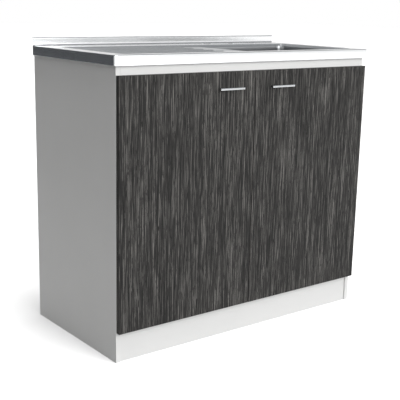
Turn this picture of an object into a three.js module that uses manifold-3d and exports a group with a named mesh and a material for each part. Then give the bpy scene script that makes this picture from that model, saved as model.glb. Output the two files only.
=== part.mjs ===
// Kitchen sink unit: a white board cabinet with two dark wood-grain doors on
// concealed hinges, under a pressed stainless steel sink top with a ribbed
// drainer on the left, a bowl on the right and a low upstand along the back.
// Millimetres, +Z up, the front faces -Y. The origin is on the floor, at the
// middle of the unit's overall width and depth.

import * as THREE from 'three';
import { mergeVertices } from 'three/addons/utils/BufferGeometryUtils.js';
import Module from 'manifold-3d';

const wasm = await Module();
wasm.setup();

// ---------------------------------------------------------------- dimensions

const seatGap = 0.3; // left between two pieces that touch

// Cabinet boards
const carcassSideInset = 10; // outer side faces inside the sink top's ends
const carcassBehindTop = 11; // back edges behind the sink top's back
const boardThickness = 15;
const kickHeight = 92;
const kickSetback = 5; // kick panel behind the front edges of the sides
const railHeight = 70;
const backBoardThickness = 3;
const backRebate = 7; // how far the back board enters each side
const pipeCutWidth = 420;
const pipeCutHeight = 320;
const pipeCutFromSide = 65; // opening's right edge to the right side's inside
const pipeCutBottom = 250;
const pipeCutRadius = 20;

// Cam locks that pull the rails and the bottom against the sides
const camRadius = 7.5;
const camLength = 12;
const camSlotWidth = 1.6;
const camSlotDepth = 2;
const camSlotMargin = 2; // end of the slot to the cam's edge
const camSides = 16;
const camInset = 34; // cam axis from the end of its board
const camFromFront = 60; // cams of the bottom board, from its front edge
const camFromBack = 60;

// Angle clips that hold the sink top down on the sides
const clipFromFront = 120; // middle of the front clip
const clipFromBack = 110;
const clipWidth = 24;
const clipThickness = 1.5;
const clipDrop = 28; // leg on the side panel
const clipToPanel = 0.9; // end of the leg under the sink top to the sunk panel
const clipHoleRadius = 2.2;

// Doors
const doorThickness = 15;
const doorAboveKick = 1;
const doorBelowApron = 26; // strip of the front rail that shows above the doors
const doorGap = 1; // back of a closed door to the cabinet's front edges
const doorSideReveal = 1; // door edge inside the cabinet's outer face
const doorSeam = 2; // between the two doors

// Bar handles on two posts
const handleLength = 92;
const handleHeight = 6.5;
const handleDepth = 5;
const handleEdge = 0.9; // rounding of the bar's long edges
const handlePostSpacing = 76;
const handlePostRadius = 2.75;
const handleProjection = 18.5; // door face to the front of the bar
const handleCentreX = 102.5;
const handleBelowDoorTop = 50;
const handleScrewRadius = 1.5;
const handleBoreDepth = 9;
const handleScrewBite = 7; // how far the screw enters the post
const handleScrewHeadRadius = 3.6;
const handleScrewHeadHeight = 2.2;
const handleScrewCrownRadius = 2.2; // flat end of the screw's head
const handleHoleRadius = 2.3; // clearance hole through the door
const screwSides = 12;

// Concealed hinges. Positions across a hinge are (u, v): u runs inwards from
// the cabinet's outer side face, v runs forwards from its front edges.
const hingeFromDoorEnd = 100;
const hingeCupRadius = 17.2;
const hingeCupWall = 0.8;
const hingeCupDepth = 10.7;
const hingeCupEdge = 4; // door edge to the cup's bore
const hingeEarFromU = 24;
const hingeEarToU = 37;
const hingeEarHalfHeight = 27;
const hingeEarThickness = 0.8;
const hingeArmPivot = [29.3, 1.2];
const hingeCupPivot = [8.9, 4.4];
const hingeLinkBend = [11.3, 8.7];
const hingeLinkThickness = 1.8;
const hingeLinkHalfWidth = 3.5;
const hingeCupKnuckle = 1.9; // radius of the link's eye in the cup
const hingeArmKnuckle = 2.6; // radius of the link's eye in the arm
const hingeArmNose = 3.2; // radius of the arm's two cheeks round that eye
const hingePinRadius = 0.9;
const hingeArmHalfWidth = 6;
const hingeArmWall = 1.7;
const hingeArmTop = 33;
const hingeArmBack = -62;
const hingeArmNeck = -15; // where the slim nose of the arm ends
const hingeArmShoulder = -25; // where its full depth starts
const hingePlateThickness = 2;
const hingePlateFront = -18;
const hingePlateBack = -58;
const hingePlateHalfWidth = 9;
const hingeWingFront = -30;
const hingeWingBack = -44;
const hingeWingHalfHeight = 24;
const hingePlateRib = 7; // block that the arm clips over
const hingeRibMargin = 2; // end of the block to the arm's shoulder

// Sink top, pressed from sheet
const sheet = 0.8;
const topWidth = 1000;
const topOverhang = 11; // past the cabinet's front edges
const topHeight = 892;
const topEdgeRadius = 3;
const topCornerRadius = 5;
const apronHeight = 30;
const upstandHeight = 25;
const upstandCove = 4;
const panelSideMargin = 40; // rim beside the sunk panel
const panelFrontMargin = 30;
const ledgeDepth = 103; // tap ledge behind the sunk panel
const panelSink = 6;
const panelSlope = 4; // plan width of the sunk panel's sloping wall
const panelCornerRadius = 22;
const ribCount = 6;
const ribPitch = 53;
const ribWidth = 14;
const ribHeight = 2.5;
const ribSlope = 3;
const ribLeftInset = 32; // from the sunk panel's edge to the ribs
const ribToBowl = 85; // from the ribs' right end to the bowl
const tapHoleRadius = 17.5;
const tapHolePitch = 101.6;
const tapHoleFromBack = 45;

// Bowl and its waste
const bowlWidth = 380;
const bowlLength = 320; // front to back
const bowlFromTopEnd = 57; // right end of the sink top to the bowl
const bowlFromPanelBack = 14; // sunk panel's back edge to the bowl
const bowlFromPanelFront = 13;
const bowlDepth = 150;
const bowlCornerRadius = 24;
const bowlFloorRadius = 18;
const bowlDraft = 3;
const bowlFloorFall = 3;
const bowlFlange = 8;
const wasteHoleRadius = 45;
const wasteFlangeRadius = 55;
const wasteFlangeThickness = 1.6;
const wasteSeatMargin = 2; // flat seat in the bowl floor past the flange
const wasteCupRadius = 43.5;
const wasteCupDepth = 42;
const wasteCupBevel = 8; // cut off the cup's floor edge
const wasteLipDrop = 0.4; // fall of the flange towards the cup
const wasteFlangeBevel = 1;
const wasteWall = 1.6;
const wasteTailRadius = 20;
const wasteTailLength = 45;
const gasketThickness = 3;
const gasketRadius = 56;
const nutRadius = 58;
const nutHeight = 10;
const basketRimRadius = 40.8;
const basketCupRadius = 33;
const basketCupDepth = 22;
const basketWall = 1.2;
const basketBevel = 4; // cut off the cup's floor edge
const basketRimSlope = 3; // height of the slope from the rim into the cup
const basketHoleRadius = 2.5;
const basketHoleCount = 12;
const basketKnobRadius = 7;
const basketKnobHeight = 16;
const basketKnobThickness = 4;
const basketKnobBevel = 1;
const basketStemRadius = 3;
const basketStopperRadius = 24;
const basketStopperThickness = 4;

// ------------------------------------------------------------ derived places

const panelWidth = topWidth - 2 * panelSideMargin;
const panelLength = bowlFromPanelFront + bowlLength + bowlFromPanelBack;
const topDepth = panelFrontMargin + panelLength + ledgeDepth;
const topFront = -topOverhang;
const topBack = topFront + topDepth;
const panelZ = topHeight - panelSink;
const panelFront = topFront + panelFrontMargin;
const panelBack = topBack - ledgeDepth;
const panelCentreY = (panelFront + panelBack) / 2;
const carcassDepth = topBack + carcassBehindTop;
const sideOuter = topWidth / 2 - carcassSideInset;
const sideInner = sideOuter - boardThickness;
const innerHalf = sideInner - seatGap; // half length of the boards between
const sideHeight = topHeight - sheet - seatGap;
const pipeCutCentreX = sideInner - pipeCutFromSide - pipeCutWidth / 2;
const clipLipEnd = panelWidth / 2 + sheet + clipToPanel;
const frontReach = doorGap + doorThickness + handleProjection;
const carcassFront = -(carcassDepth - frontReach) / 2; // from the origin
const backBoardFront = carcassDepth - backBoardThickness;
const innerBack = backBoardFront - seatGap;
const railBottom = sideHeight - railHeight;
const bottomBoardBottom = kickHeight + seatGap;
const bottomBoardTop = bottomBoardBottom + boardThickness;
const doorBackV = doorGap;
const doorFrontV = doorGap + doorThickness;
const doorBottom = kickHeight + doorAboveKick;
const doorTop = topHeight - apronHeight - doorBelowApron;
const doorWidth = sideOuter - doorSideReveal - doorSeam / 2;
const handleHeightZ = doorTop - handleBelowDoorTop;
const hingeBoreRadius = hingeCupRadius + seatGap;
const hingeCupCentreU = doorSideReveal + hingeCupEdge + hingeBoreRadius;
const bowlCentreX = topWidth / 2 - bowlFromTopEnd - bowlWidth / 2;
const bowlCentreY = panelBack - bowlFromPanelBack - bowlLength / 2;
const ribRightEnd = bowlCentreX - bowlWidth / 2 - ribToBowl;
const bowlTop = panelZ - sheet - seatGap;
const bowlFloorZ = panelZ - bowlDepth;
const wasteSeatZ = bowlFloorZ - bowlFloorFall; // bowl floor at the waste
const wasteTop = wasteSeatZ + seatGap + wasteFlangeThickness;

// ------------------------------------------------------------------- finishes

function finish(color, roughness, metalness) {
  return new THREE.MeshStandardMaterial({ color, roughness, metalness });
}
const whiteMelamine = finish(0xe6e6e4, 0.55, 0);
const charcoalGrain = finish(0x434241, 0.6, 0);
const backBoardWhite = finish(0xdededb, 0.7, 0);
const stainless = finish(0xc3c5c6, 0.3, 1);
const chrome = finish(0xd8dadb, 0.12, 1);
const nickel = finish(0xb9b7b2, 0.25, 1);
const zinc = finish(0x9fa1a2, 0.45, 1);
const blackRubber = finish(0x1c1c1d, 0.85, 0);

// -------------------------------------------------------------- solid helpers

// A closed geometry as a solid for cutting and joining.
function solidOf(geometry) {
  const bare = geometry.clone();
  bare.deleteAttribute('normal');
  bare.deleteAttribute('uv');
  const merged = mergeVertices(bare, 1e-4);
  const index = merged.index.array;
  const kept = [];
  for (let i = 0; i < index.length; i += 3) {
    const [a, b, c] = [index[i], index[i + 1], index[i + 2]];
    if (a !== b && b !== c && c !== a) kept.push(a, b, c);
  }
  return new wasm.Manifold(new wasm.Mesh({
    numProp: 3,
    vertProperties: new Float32Array(merged.attributes.position.array),
    triVerts: new Uint32Array(kept),
  }));
}

function geometryOf(solid) {
  const mesh = solid.getMesh();
  const geometry = new THREE.BufferGeometry();
  const position = new THREE.BufferAttribute(mesh.vertProperties, 3);
  geometry.setAttribute('position', position);
  geometry.setIndex(new THREE.BufferAttribute(mesh.triVerts, 1));
  geometry.computeVertexNormals();
  return geometry;
}

// A box between two corners.
function boxBetween(x0, x1, y0, y1, z0, z1) {
  const geometry = new THREE.BoxGeometry(x1 - x0, y1 - y0, z1 - z0);
  return geometry.translate((x0 + x1) / 2, (y0 + y1) / 2, (z0 + z1) / 2);
}

// A cylinder along Z, from z0 to z1.
function uprightCylinder(x, y, radius, z0, z1, sides = 24) {
  const geometry = new THREE.CylinderGeometry(radius, radius, z1 - z0, sides);
  return geometry.rotateX(Math.PI / 2).translate(x, y, (z0 + z1) / 2);
}

// A cylinder along Y, from y0 to y1.
function levelCylinder(x, z, radius, y0, y1, sides = 24) {
  const geometry = new THREE.CylinderGeometry(radius, radius, y1 - y0, sides);
  return geometry.translate(x, (y0 + y1) / 2, z);
}

// A profile of [radius, z] points turned about the upright axis at (x, y).
function turned(profile, x, y, sides = 28) {
  const points = profile.map(([radius, z]) => new THREE.Vector2(radius, z));
  return new THREE.LatheGeometry(points, sides).rotateX(Math.PI / 2).translate(x, y, 0);
}

// Points round a rounded rectangle, anticlockwise seen from above. The steps
// are those of each quarter turn and of each straight side.
function roundedRing(centreX, centreY, width, length, radius, z, turnSteps, sideSteps = 1) {
  const corners = [];
  [[1, 1], [-1, 1], [-1, -1], [1, -1]].forEach(([sideX, sideY], quarter) => {
    for (let step = 0; step <= turnSteps; step += 1) {
      const angle = (quarter + step / turnSteps) * Math.PI / 2;
      corners.push([
        centreX + sideX * (width / 2 - radius) + radius * Math.cos(angle),
        centreY + sideY * (length / 2 - radius) + radius * Math.sin(angle),
        z,
      ]);
    }
  });
  return corners.flatMap((point, i) => {
    const next = corners[(i + 1) % corners.length];
    const steps = i % (turnSteps + 1) === turnSteps ? sideSteps : 1;
    return Array.from({ length: steps }, (_, k) => [
      point[0] + (next[0] - point[0]) * k / steps,
      point[1] + (next[1] - point[1]) * k / steps,
      z,
    ]);
  });
}

// A circle whose points have the same bearings as the points of another ring.
function circleLike(ring, centreX, centreY, radius, z) {
  return ring.map(([x, y]) => {
    const bearing = Math.atan2(y - centreY, x - centreX);
    return [centreX + radius * Math.cos(bearing), centreY + radius * Math.sin(bearing), z];
  });
}

// Skin over rings of equal point count. Open stacks run upwards and get a flat
// cap at each end; a looped stack joins its last ring to its first.
function skinOver(rings, looped = false) {
  const count = rings[0].length;
  const positions = rings.flat(2);
  const index = [];
  const last = looped ? rings.length : rings.length - 1;
  for (let i = 0; i < last; i += 1) {
    const low = i * count;
    const high = ((i + 1) % rings.length) * count;
    for (let j = 0; j < count; j += 1) {
      const next = (j + 1) % count;
      index.push(low + j, low + next, high + next);
      index.push(low + j, high + next, high + j);
    }
  }
  if (!looped) {
    const top = (rings.length - 1) * count;
    for (let j = 1; j < count - 1; j += 1) {
      index.push(0, j + 1, j);
      index.push(top, top + j, top + j + 1);
    }
  }
  const geometry = new THREE.BufferGeometry();
  geometry.setAttribute('position', new THREE.Float32BufferAttribute(positions, 3));
  geometry.setIndex(index);
  return geometry;
}

// A flat outline of [x, y] points pulled up from z0 to z1.
function prism(outline, z0, z1) {
  const shape = new THREE.Shape(outline.map(([x, y]) => new THREE.Vector2(x, y)));
  const geometry = new THREE.ExtrudeGeometry(shape, { depth: z1 - z0, bevelEnabled: false });
  return geometry.translate(0, 0, z0);
}

// A flat outline of [y, z] points pulled along X from x0 to x1.
function beam(outline, x0, x1) {
  const shape = new THREE.Shape(outline.map(([y, z]) => new THREE.Vector2(y, z)));
  const geometry = new THREE.ExtrudeGeometry(shape, { depth: x1 - x0, bevelEnabled: false });
  geometry.rotateX(Math.PI / 2).rotateZ(Math.PI / 2);
  return geometry.translate(x0, 0, 0);
}

function joinAll(solids) {
  return solids.reduce((whole, solid) => whole.add(solid));
}

function cutAll(solid, cutters) {
  return cutters.reduce((left, cutter) => left.subtract(cutter), solid);
}

// ---------------------------------------------------------------- the group

const unit = new THREE.Group();
const pieces = new THREE.Group(); // y = 0 at the cabinet's front edges
pieces.position.y = carcassFront;
unit.add(pieces);

function addPiece(name, shape, material) {
  const geometry = shape.isBufferGeometry ? shape : geometryOf(shape);
  const mesh = new THREE.Mesh(geometry, material);
  mesh.name = name;
  pieces.add(mesh);
}

const sides = [['left', -1], ['right', 1]];

// ------------------------------------------------------------ cabinet boards

// Full-depth side, rebated inside its back edge for the back board.
function sidePanel(side) {
  const inner = side * sideInner;
  const outer = side * sideOuter;
  const [x0, x1] = side < 0 ? [outer, inner] : [inner, outer];
  const board = solidOf(boxBetween(x0, x1, 0, carcassDepth, 0, sideHeight));
  const rebateEnd = inner + side * backRebate;
  const [r0, r1] = side < 0 ? [rebateEnd, inner + 1] : [inner - 1, rebateEnd];
  const rebate = boxBetween(r0, r1, innerBack, carcassDepth + 1, -1, sideHeight + 1);
  return board.subtract(solidOf(rebate));
}

// Cylinder of a cam lock or its bore, from the point (x, y, z) along an axis.
function camSolid(x, y, z, axis, radius, length) {
  const geometry = axis === 'z'
    ? uprightCylinder(x, y, radius, z, z + length, camSides)
    : levelCylinder(x, z, radius, Math.min(y, y + length), Math.max(y, y + length), camSides);
  return solidOf(geometry);
}

const camX = innerHalf - camInset;
const railMiddleZ = railBottom + railHeight / 2;
const rearRailFront = innerBack - boardThickness;
const camPlaces = [];
for (const [sideName, side] of sides) {
  camPlaces.push({
    board: 'bottom', name: `cam_lock_bottom_front_${sideName}`,
    x: side * camX, y: camFromFront, z: bottomBoardBottom, axis: 'z', inward: 1,
  });
  camPlaces.push({
    board: 'bottom', name: `cam_lock_bottom_rear_${sideName}`,
    x: side * camX, y: innerBack - camFromBack, z: bottomBoardBottom, axis: 'z', inward: 1,
  });
  camPlaces.push({
    board: 'front', name: `cam_lock_front_rail_${sideName}`,
    x: side * camX, y: boardThickness, z: railMiddleZ, axis: 'y', inward: -1,
  });
  camPlaces.push({
    board: 'rear', name: `cam_lock_rear_rail_${sideName}`,
    x: side * camX, y: rearRailFront, z: railMiddleZ, axis: 'y', inward: 1,
  });
}

function withCamBores(board, boardName) {
  const bores = camPlaces.filter((place) => place.board === boardName).map((place) => {
    const start = -place.inward; // starts 1 mm outside the face
    const depth = place.inward * (camLength + seatGap + 1);
    const y = place.axis === 'y' ? place.y + start : place.y;
    const z = place.axis === 'z' ? place.z + start : place.z;
    return camSolid(place.x, y, z, place.axis, camRadius + seatGap, depth);
  });
  return cutAll(solidOf(board), bores);
}

// Round cam with a screwdriver slot in its face.
function camLock(place) {
  const body = camSolid(place.x, place.y, place.z, place.axis, camRadius, place.inward * camLength);
  const along = camRadius - camSlotMargin;
  const across = camSlotWidth / 2;
  const deep = camSlotDepth;
  const { x, y, z } = place;
  const slot = place.axis === 'z'
    ? boxBetween(x - along, x + along, y - across, y + across, z - deep, z + deep)
    : boxBetween(x - along, x + along, y - deep, y + deep, z - across, z + across);
  return body.subtract(solidOf(slot));
}

// Back board with a round-cornered opening for the pipes.
function backPanel() {
  const half = sideInner + backRebate - seatGap;
  const board = boxBetween(-half, half, backBoardFront, carcassDepth, bottomBoardBottom, sideHeight);
  const centreZ = pipeCutBottom + pipeCutHeight / 2;
  const past = 10;
  const [low, high] = [0, 2 * past].map((z) => roundedRing(
    pipeCutCentreX, centreZ, pipeCutWidth, pipeCutHeight, pipeCutRadius, z, 5,
  ));
  const cutter = skinOver([low, high]).rotateX(Math.PI / 2);
  cutter.translate(0, carcassDepth + past, 0);
  return solidOf(board).subtract(solidOf(cutter));
}

// Angle clip in the corner between a side panel and the sink top's rim.
function topClip(side, middleY) {
  const wall = side * (sideInner - seatGap);
  const legFace = wall - side * clipThickness;
  const lipEnd = side * clipLipEnd;
  const top = topHeight - sheet - seatGap;
  const y0 = middleY - clipWidth / 2;
  const y1 = middleY + clipWidth / 2;
  const between = (a, b, z0, z1) => solidOf(
    boxBetween(Math.min(a, b), Math.max(a, b), y0, y1, z0, z1),
  );
  const leg = between(wall, legFace, top - clipDrop, top);
  const lip = between(wall, lipEnd, top - clipThickness, top);
  const hole = new THREE.CylinderGeometry(clipHoleRadius, clipHoleRadius, 4 * clipThickness, screwSides);
  hole.rotateZ(Math.PI / 2).translate(wall, middleY, top - clipDrop / 2 - clipThickness / 2);
  return leg.add(lip).subtract(solidOf(hole));
}

function addCabinet() {
  for (const [sideName, side] of sides) {
    addPiece(`${sideName}_side_panel`, sidePanel(side), whiteMelamine);
  }
  const bottom = boxBetween(-innerHalf, innerHalf, 0, innerBack, bottomBoardBottom, bottomBoardTop);
  addPiece('bottom_panel', withCamBores(bottom, 'bottom'), whiteMelamine);
  const front = boxBetween(-innerHalf, innerHalf, 0, boardThickness, railBottom, sideHeight);
  addPiece('front_top_rail', withCamBores(front, 'front'), whiteMelamine);
  const rear = boxBetween(-innerHalf, innerHalf, rearRailFront, innerBack, railBottom, sideHeight);
  addPiece('rear_top_rail', withCamBores(rear, 'rear'), whiteMelamine);
  const kickBack = kickSetback + boardThickness;
  const kick = boxBetween(-innerHalf, innerHalf, kickSetback, kickBack, 0, kickHeight);
  addPiece('kick_panel', kick, whiteMelamine);
  addPiece('back_panel', backPanel(), backBoardWhite);
  for (const place of camPlaces) addPiece(place.name, camLock(place), zinc);
  for (const [sideName, side] of sides) {
    addPiece(`top_clip_front_${sideName}`, topClip(side, clipFromFront), zinc);
    addPiece(`top_clip_rear_${sideName}`, topClip(side, innerBack - clipFromBack), zinc);
  }
}

// --------------------------------------------------------------------- doors

const hingeHeights = [
  ['upper', doorTop - hingeFromDoorEnd],
  ['lower', doorBottom + hingeFromDoorEnd],
];
const handlePostOffsets = [['outer', 1], ['inner', -1]];

// Turns a hinge place (u, v) of one side into the cabinet's x and y.
function hingePlace(side, [u, v]) {
  return [side * (sideOuter - u), -v];
}

function door(side) {
  const outer = side * (sideOuter - doorSideReveal);
  const inner = outer - side * doorWidth;
  const x0 = Math.min(outer, inner);
  const x1 = Math.max(outer, inner);
  const slab = solidOf(boxBetween(x0, x1, -doorFrontV, -doorBackV, doorBottom, doorTop));
  const cutters = [];
  const [cupX] = hingePlace(side, [hingeCupCentreU, 0]);
  const boreEnd = -doorBackV - (hingeCupDepth + seatGap);
  for (const [, z] of hingeHeights) {
    cutters.push(solidOf(levelCylinder(cupX, z, hingeBoreRadius, boreEnd, 0)));
  }
  for (const [, offset] of handlePostOffsets) {
    const x = side * (handleCentreX + offset * handlePostSpacing / 2);
    const y0 = -doorFrontV - 1;
    cutters.push(solidOf(levelCylinder(x, handleHeightZ, handleHoleRadius, y0, 0, screwSides)));
  }
  return cutAll(slab, cutters);
}

// Bar with softly rounded edges on two round posts, each drilled for a screw.
function handle(side) {
  const front = -(doorFrontV + handleProjection);
  const centreY = front + handleDepth / 2;
  const low = side * handleCentreX - handleLength / 2;
  const outline = roundedRing(0, 0, handleDepth, handleHeight, handleEdge, 0, 3);
  const section = outline.map(([a, b]) => [centreY + a, handleHeightZ + b]);
  let whole = solidOf(beam(section, low, low + handleLength));
  const foot = -doorFrontV - seatGap;
  for (const [, offset] of handlePostOffsets) {
    const x = side * (handleCentreX + offset * handlePostSpacing / 2);
    const post = levelCylinder(x, handleHeightZ, handlePostRadius, centreY, foot, 16);
    whole = whole.add(solidOf(post));
    const bore = handleScrewRadius + seatGap;
    const end = foot - handleBoreDepth;
    const drilled = levelCylinder(x, handleHeightZ, bore, end, foot + 1, screwSides);
    whole = whole.subtract(solidOf(drilled));
  }
  return whole;
}

// Round-headed screw from the back of the door into a handle post.
function handleScrew(side, offset) {
  const x = side * (handleCentreX + offset * handlePostSpacing / 2);
  const headBack = -doorBackV + seatGap;
  const headTop = headBack + handleScrewHeadHeight;
  const tip = -doorFrontV - seatGap - handleScrewBite;
  const profile = [
    [0, tip],
    [handleScrewRadius, tip],
    [handleScrewRadius, headBack],
    [handleScrewHeadRadius, headBack],
    [handleScrewHeadRadius, headBack + handleScrewHeadHeight / 2],
    [handleScrewCrownRadius, headTop],
    [0, headTop],
  ];
  const screw = turned(profile, 0, 0, screwSides);
  return solidOf(screw.rotateX(-Math.PI / 2).translate(x, 0, handleHeightZ));
}

function addDoors() {
  for (const [sideName, side] of sides) {
    addPiece(`${sideName}_door`, door(side), charcoalGrain);
    addPiece(`${sideName}_handle`, handle(side), chrome);
    for (const [postName, offset] of handlePostOffsets) {
      addPiece(`${sideName}_handle_screw_${postName}`, handleScrew(side, offset), zinc);
    }
  }
}

// -------------------------------------------------------------------- hinges

// Outline in (u, v) pulled up between z - half and z + half.
function hingePrism(side, outline, z, half) {
  const placed = outline.map((point) => hingePlace(side, point));
  return solidOf(prism(placed, z - half, z + half));
}

function hingeBox(side, u0, u1, v0, v1, z, half) {
  return hingePrism(side, [[u0, v0], [u1, v0], [u1, v1], [u0, v1]], z, half);
}

function hingeRound(side, place, radius, z, half, count = 12) {
  const [x, y] = hingePlace(side, place);
  return solidOf(uprightCylinder(x, y, radius, z - half, z + half, count));
}

// Strip of metal with a flat width, from one (u, v) place to another.
function hingeStrip(side, from, to, thickness, z, half) {
  const along = [to[0] - from[0], to[1] - from[1]];
  const length = Math.hypot(along[0], along[1]);
  const across = [-along[1] / length * thickness / 2, along[0] / length * thickness / 2];
  const outline = [
    [from[0] + across[0], from[1] + across[1]],
    [to[0] + across[0], to[1] + across[1]],
    [to[0] - across[0], to[1] - across[1]],
    [from[0] - across[0], from[1] - across[1]],
  ];
  return hingePrism(side, outline, z, half);
}

// Pressed cup sunk in the door, with two screw ears on the door's back.
function hingeCup(side, z) {
  const [x] = hingePlace(side, [hingeCupCentreU, 0]);
  const mouth = -doorBackV;
  const end = mouth - hingeCupDepth;
  const inside = hingeCupRadius - hingeCupWall;
  const earFace = mouth + seatGap;
  const earTop = earFace + hingeEarThickness;
  const shell = solidOf(levelCylinder(x, z, hingeCupRadius, end, mouth));
  const neck = solidOf(levelCylinder(x, z, hingeCupRadius, mouth - 1, earTop));
  const half = hingeEarHalfHeight;
  const ears = hingeBox(side, hingeEarFromU, hingeEarToU, -earTop, -earFace, z, half);
  const neckEnd = hingeCupCentreU + 2 * hingeCupRadius;
  const earSide = hingeBox(side, hingeEarFromU, neckEnd, -earTop, doorBackV + 1, z, half);
  const hollow = solidOf(levelCylinder(x, z, inside, end + hingeCupWall, earTop + 1));
  return shell.add(neck.intersect(earSide)).add(ears).subtract(hollow);
}

// Cranked link between the pin in the cup and the pin in the arm.
function hingeLink(side, z) {
  const half = hingeLinkHalfWidth;
  const bore = hingePinRadius + seatGap;
  const legs = joinAll([
    hingeStrip(side, hingeCupPivot, hingeLinkBend, hingeLinkThickness, z, half),
    hingeStrip(side, hingeLinkBend, hingeArmPivot, hingeLinkThickness, z, half),
    hingeRound(side, hingeLinkBend, hingeLinkThickness / 2, z, half),
    hingeRound(side, hingeCupPivot, hingeCupKnuckle, z, half),
    hingeRound(side, hingeArmPivot, hingeArmKnuckle, z, half),
  ]);
  return cutAll(legs, [
    hingeRound(side, hingeCupPivot, bore, z, half + 1),
    hingeRound(side, hingeArmPivot, bore, z, half + 1),
  ]);
}

// Channel-shaped arm: forked at its nose, open below, closed along its top.
function hingeArm(side, z) {
  const [pivotU, pivotV] = hingeArmPivot;
  const nose = hingeArmNose;
  const inside = hingeArmHalfWidth - hingeArmWall;
  const seatU = boardThickness + 2 * seatGap + hingePlateThickness;
  const outline = [
    [pivotU - nose, pivotV],
    [pivotU + nose, pivotV],
    [hingeArmTop, hingeArmNeck],
    [hingeArmTop, hingeArmBack],
    [seatU, hingeArmBack],
    [seatU, hingeArmShoulder],
    [pivotU - nose, hingeArmNeck],
  ];
  const body = hingePrism(side, outline, z, hingeArmHalfWidth)
    .add(hingeRound(side, hingeArmPivot, nose, z, hingeArmHalfWidth));
  const webUnder = hingeArmTop - hingeArmWall;
  const past = hingeArmTop + 5;
  return cutAll(body, [
    hingeBox(side, 0, past, hingeArmNeck, pivotV + 2 * nose, z, inside),
    hingeBox(side, 0, webUnder, hingeArmBack - 1, hingeArmNeck + 1, z, inside),
    hingeRound(side, hingeArmPivot, hingePinRadius + seatGap, z, hingeArmHalfWidth + 1),
  ]);
}

// Plate on the side panel, with wings for its screws and a block for the arm.
function hingePlate(side, z) {
  const face = boardThickness + seatGap;
  const top = face + hingePlateThickness;
  const ribHalf = hingeArmHalfWidth - hingeArmWall - seatGap;
  const base = hingeBox(side, face, top, hingePlateBack, hingePlateFront, z, hingePlateHalfWidth);
  const wing = hingeBox(side, face, top, hingeWingBack, hingeWingFront, z, hingeWingHalfHeight);
  const ribBack = hingePlateBack + hingeRibMargin;
  const ribFront = hingeArmShoulder - hingeRibMargin;
  const rib = hingeBox(side, face, top + hingePlateRib, ribBack, ribFront, z, ribHalf);
  return joinAll([base, wing, rib]);
}

// Half length of the pin between the walls of the round cup.
function cupPinHalf() {
  const inside = hingeCupRadius - hingeCupWall;
  const offset = hingeCupCentreU - hingeCupPivot[0] + hingePinRadius;
  return Math.sqrt(inside * inside - offset * offset) - seatGap;
}

function addHinges() {
  for (const [sideName, side] of sides) {
    for (const [levelName, z] of hingeHeights) {
      const name = `${sideName}_${levelName}_hinge`;
      addPiece(`${name}_cup`, hingeCup(side, z), nickel);
      addPiece(`${name}_link`, hingeLink(side, z), nickel);
      addPiece(`${name}_arm`, hingeArm(side, z), nickel);
      addPiece(`${name}_plate`, hingePlate(side, z), nickel);
      const cupPin = hingeRound(side, hingeCupPivot, hingePinRadius, z, cupPinHalf());
      addPiece(`${name}_cup_pin`, cupPin, zinc);
      const armPin = hingeRound(side, hingeArmPivot, hingePinRadius, z, hingeArmHalfWidth);
      addPiece(`${name}_arm_pin`, armPin, zinc);
    }
  }
}

// ------------------------------------------------------------------ sink top

// Block with a rounded top edge and rounded corners, running past the back of
// the top so that only its front and sides turn down.
function softBlock(inset, bottomZ, topZ, edgeRadius) {
  const past = 40;
  const width = topWidth - 2 * inset;
  const length = topDepth - inset + past;
  const centreY = topFront + inset + length / 2;
  const corner = topCornerRadius - inset;
  const turnSteps = 3;
  const rings = [roundedRing(0, centreY, width, length, corner, bottomZ, turnSteps)];
  const arcSteps = 3;
  for (let step = 0; step <= arcSteps; step += 1) {
    const angle = step / arcSteps * Math.PI / 2;
    const drawIn = edgeRadius * (1 - Math.cos(angle));
    const z = topZ - edgeRadius * (1 - Math.sin(angle));
    const ring = roundedRing(
      0, centreY, width - 2 * drawIn, length - 2 * drawIn, corner - drawIn, z, turnSteps,
    );
    rings.push(ring);
  }
  return solidOf(skinOver(rings));
}

// Rounded rectangle that changes width by a slope between two heights.
function taperedBlock(place, lowZ, highZ, lowGrow, highGrow) {
  const { x, y, width, length, radius, turnSteps } = place;
  const at = (grow, z) => roundedRing(
    x, y, width + 2 * grow, length + 2 * grow, radius + grow, z, turnSteps,
  );
  return solidOf(skinOver([at(lowGrow, lowZ), at(highGrow, highZ)]));
}

// Low wall along the back of the top, with a cove where it leaves the ledge.
function upstand() {
  const face = topBack - sheet;
  const outline = [
    [topBack, topHeight - sheet],
    [topBack, topHeight + upstandHeight],
    [face, topHeight + upstandHeight],
  ];
  const coveSteps = 5;
  for (let step = 0; step <= coveSteps; step += 1) {
    const angle = step / coveSteps * Math.PI / 2;
    outline.push([
      face - upstandCove + upstandCove * Math.cos(angle),
      topHeight + upstandCove - upstandCove * Math.sin(angle),
    ]);
  }
  outline.push([face - upstandCove, topHeight - sheet]);
  return solidOf(beam(outline, -topWidth / 2, topWidth / 2));
}

const sunkPanel = {
  x: 0,
  y: panelCentreY,
  width: panelWidth,
  length: panelLength,
  radius: panelCornerRadius,
  turnSteps: 6,
};
const bowlTurnSteps = 7; // of each corner of the bowl and its mouth
const bowlMouth = {
  x: bowlCentreX,
  y: bowlCentreY,
  width: bowlWidth,
  length: bowlLength,
  radius: bowlCornerRadius,
  turnSteps: bowlTurnSteps,
};

// Places of the drainer's raised ribs, evenly about the middle of the panel.
function ribPlaces() {
  const left = -panelWidth / 2 + ribLeftInset;
  const places = [];
  for (let i = 0; i < ribCount; i += 1) {
    places.push({
      x: (left + ribRightEnd) / 2,
      y: panelCentreY + (i - (ribCount - 1) / 2) * ribPitch,
      width: ribRightEnd - left,
      length: ribWidth,
      radius: ribWidth / 2,
      turnSteps: 3,
    });
  }
  return places;
}

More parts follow.
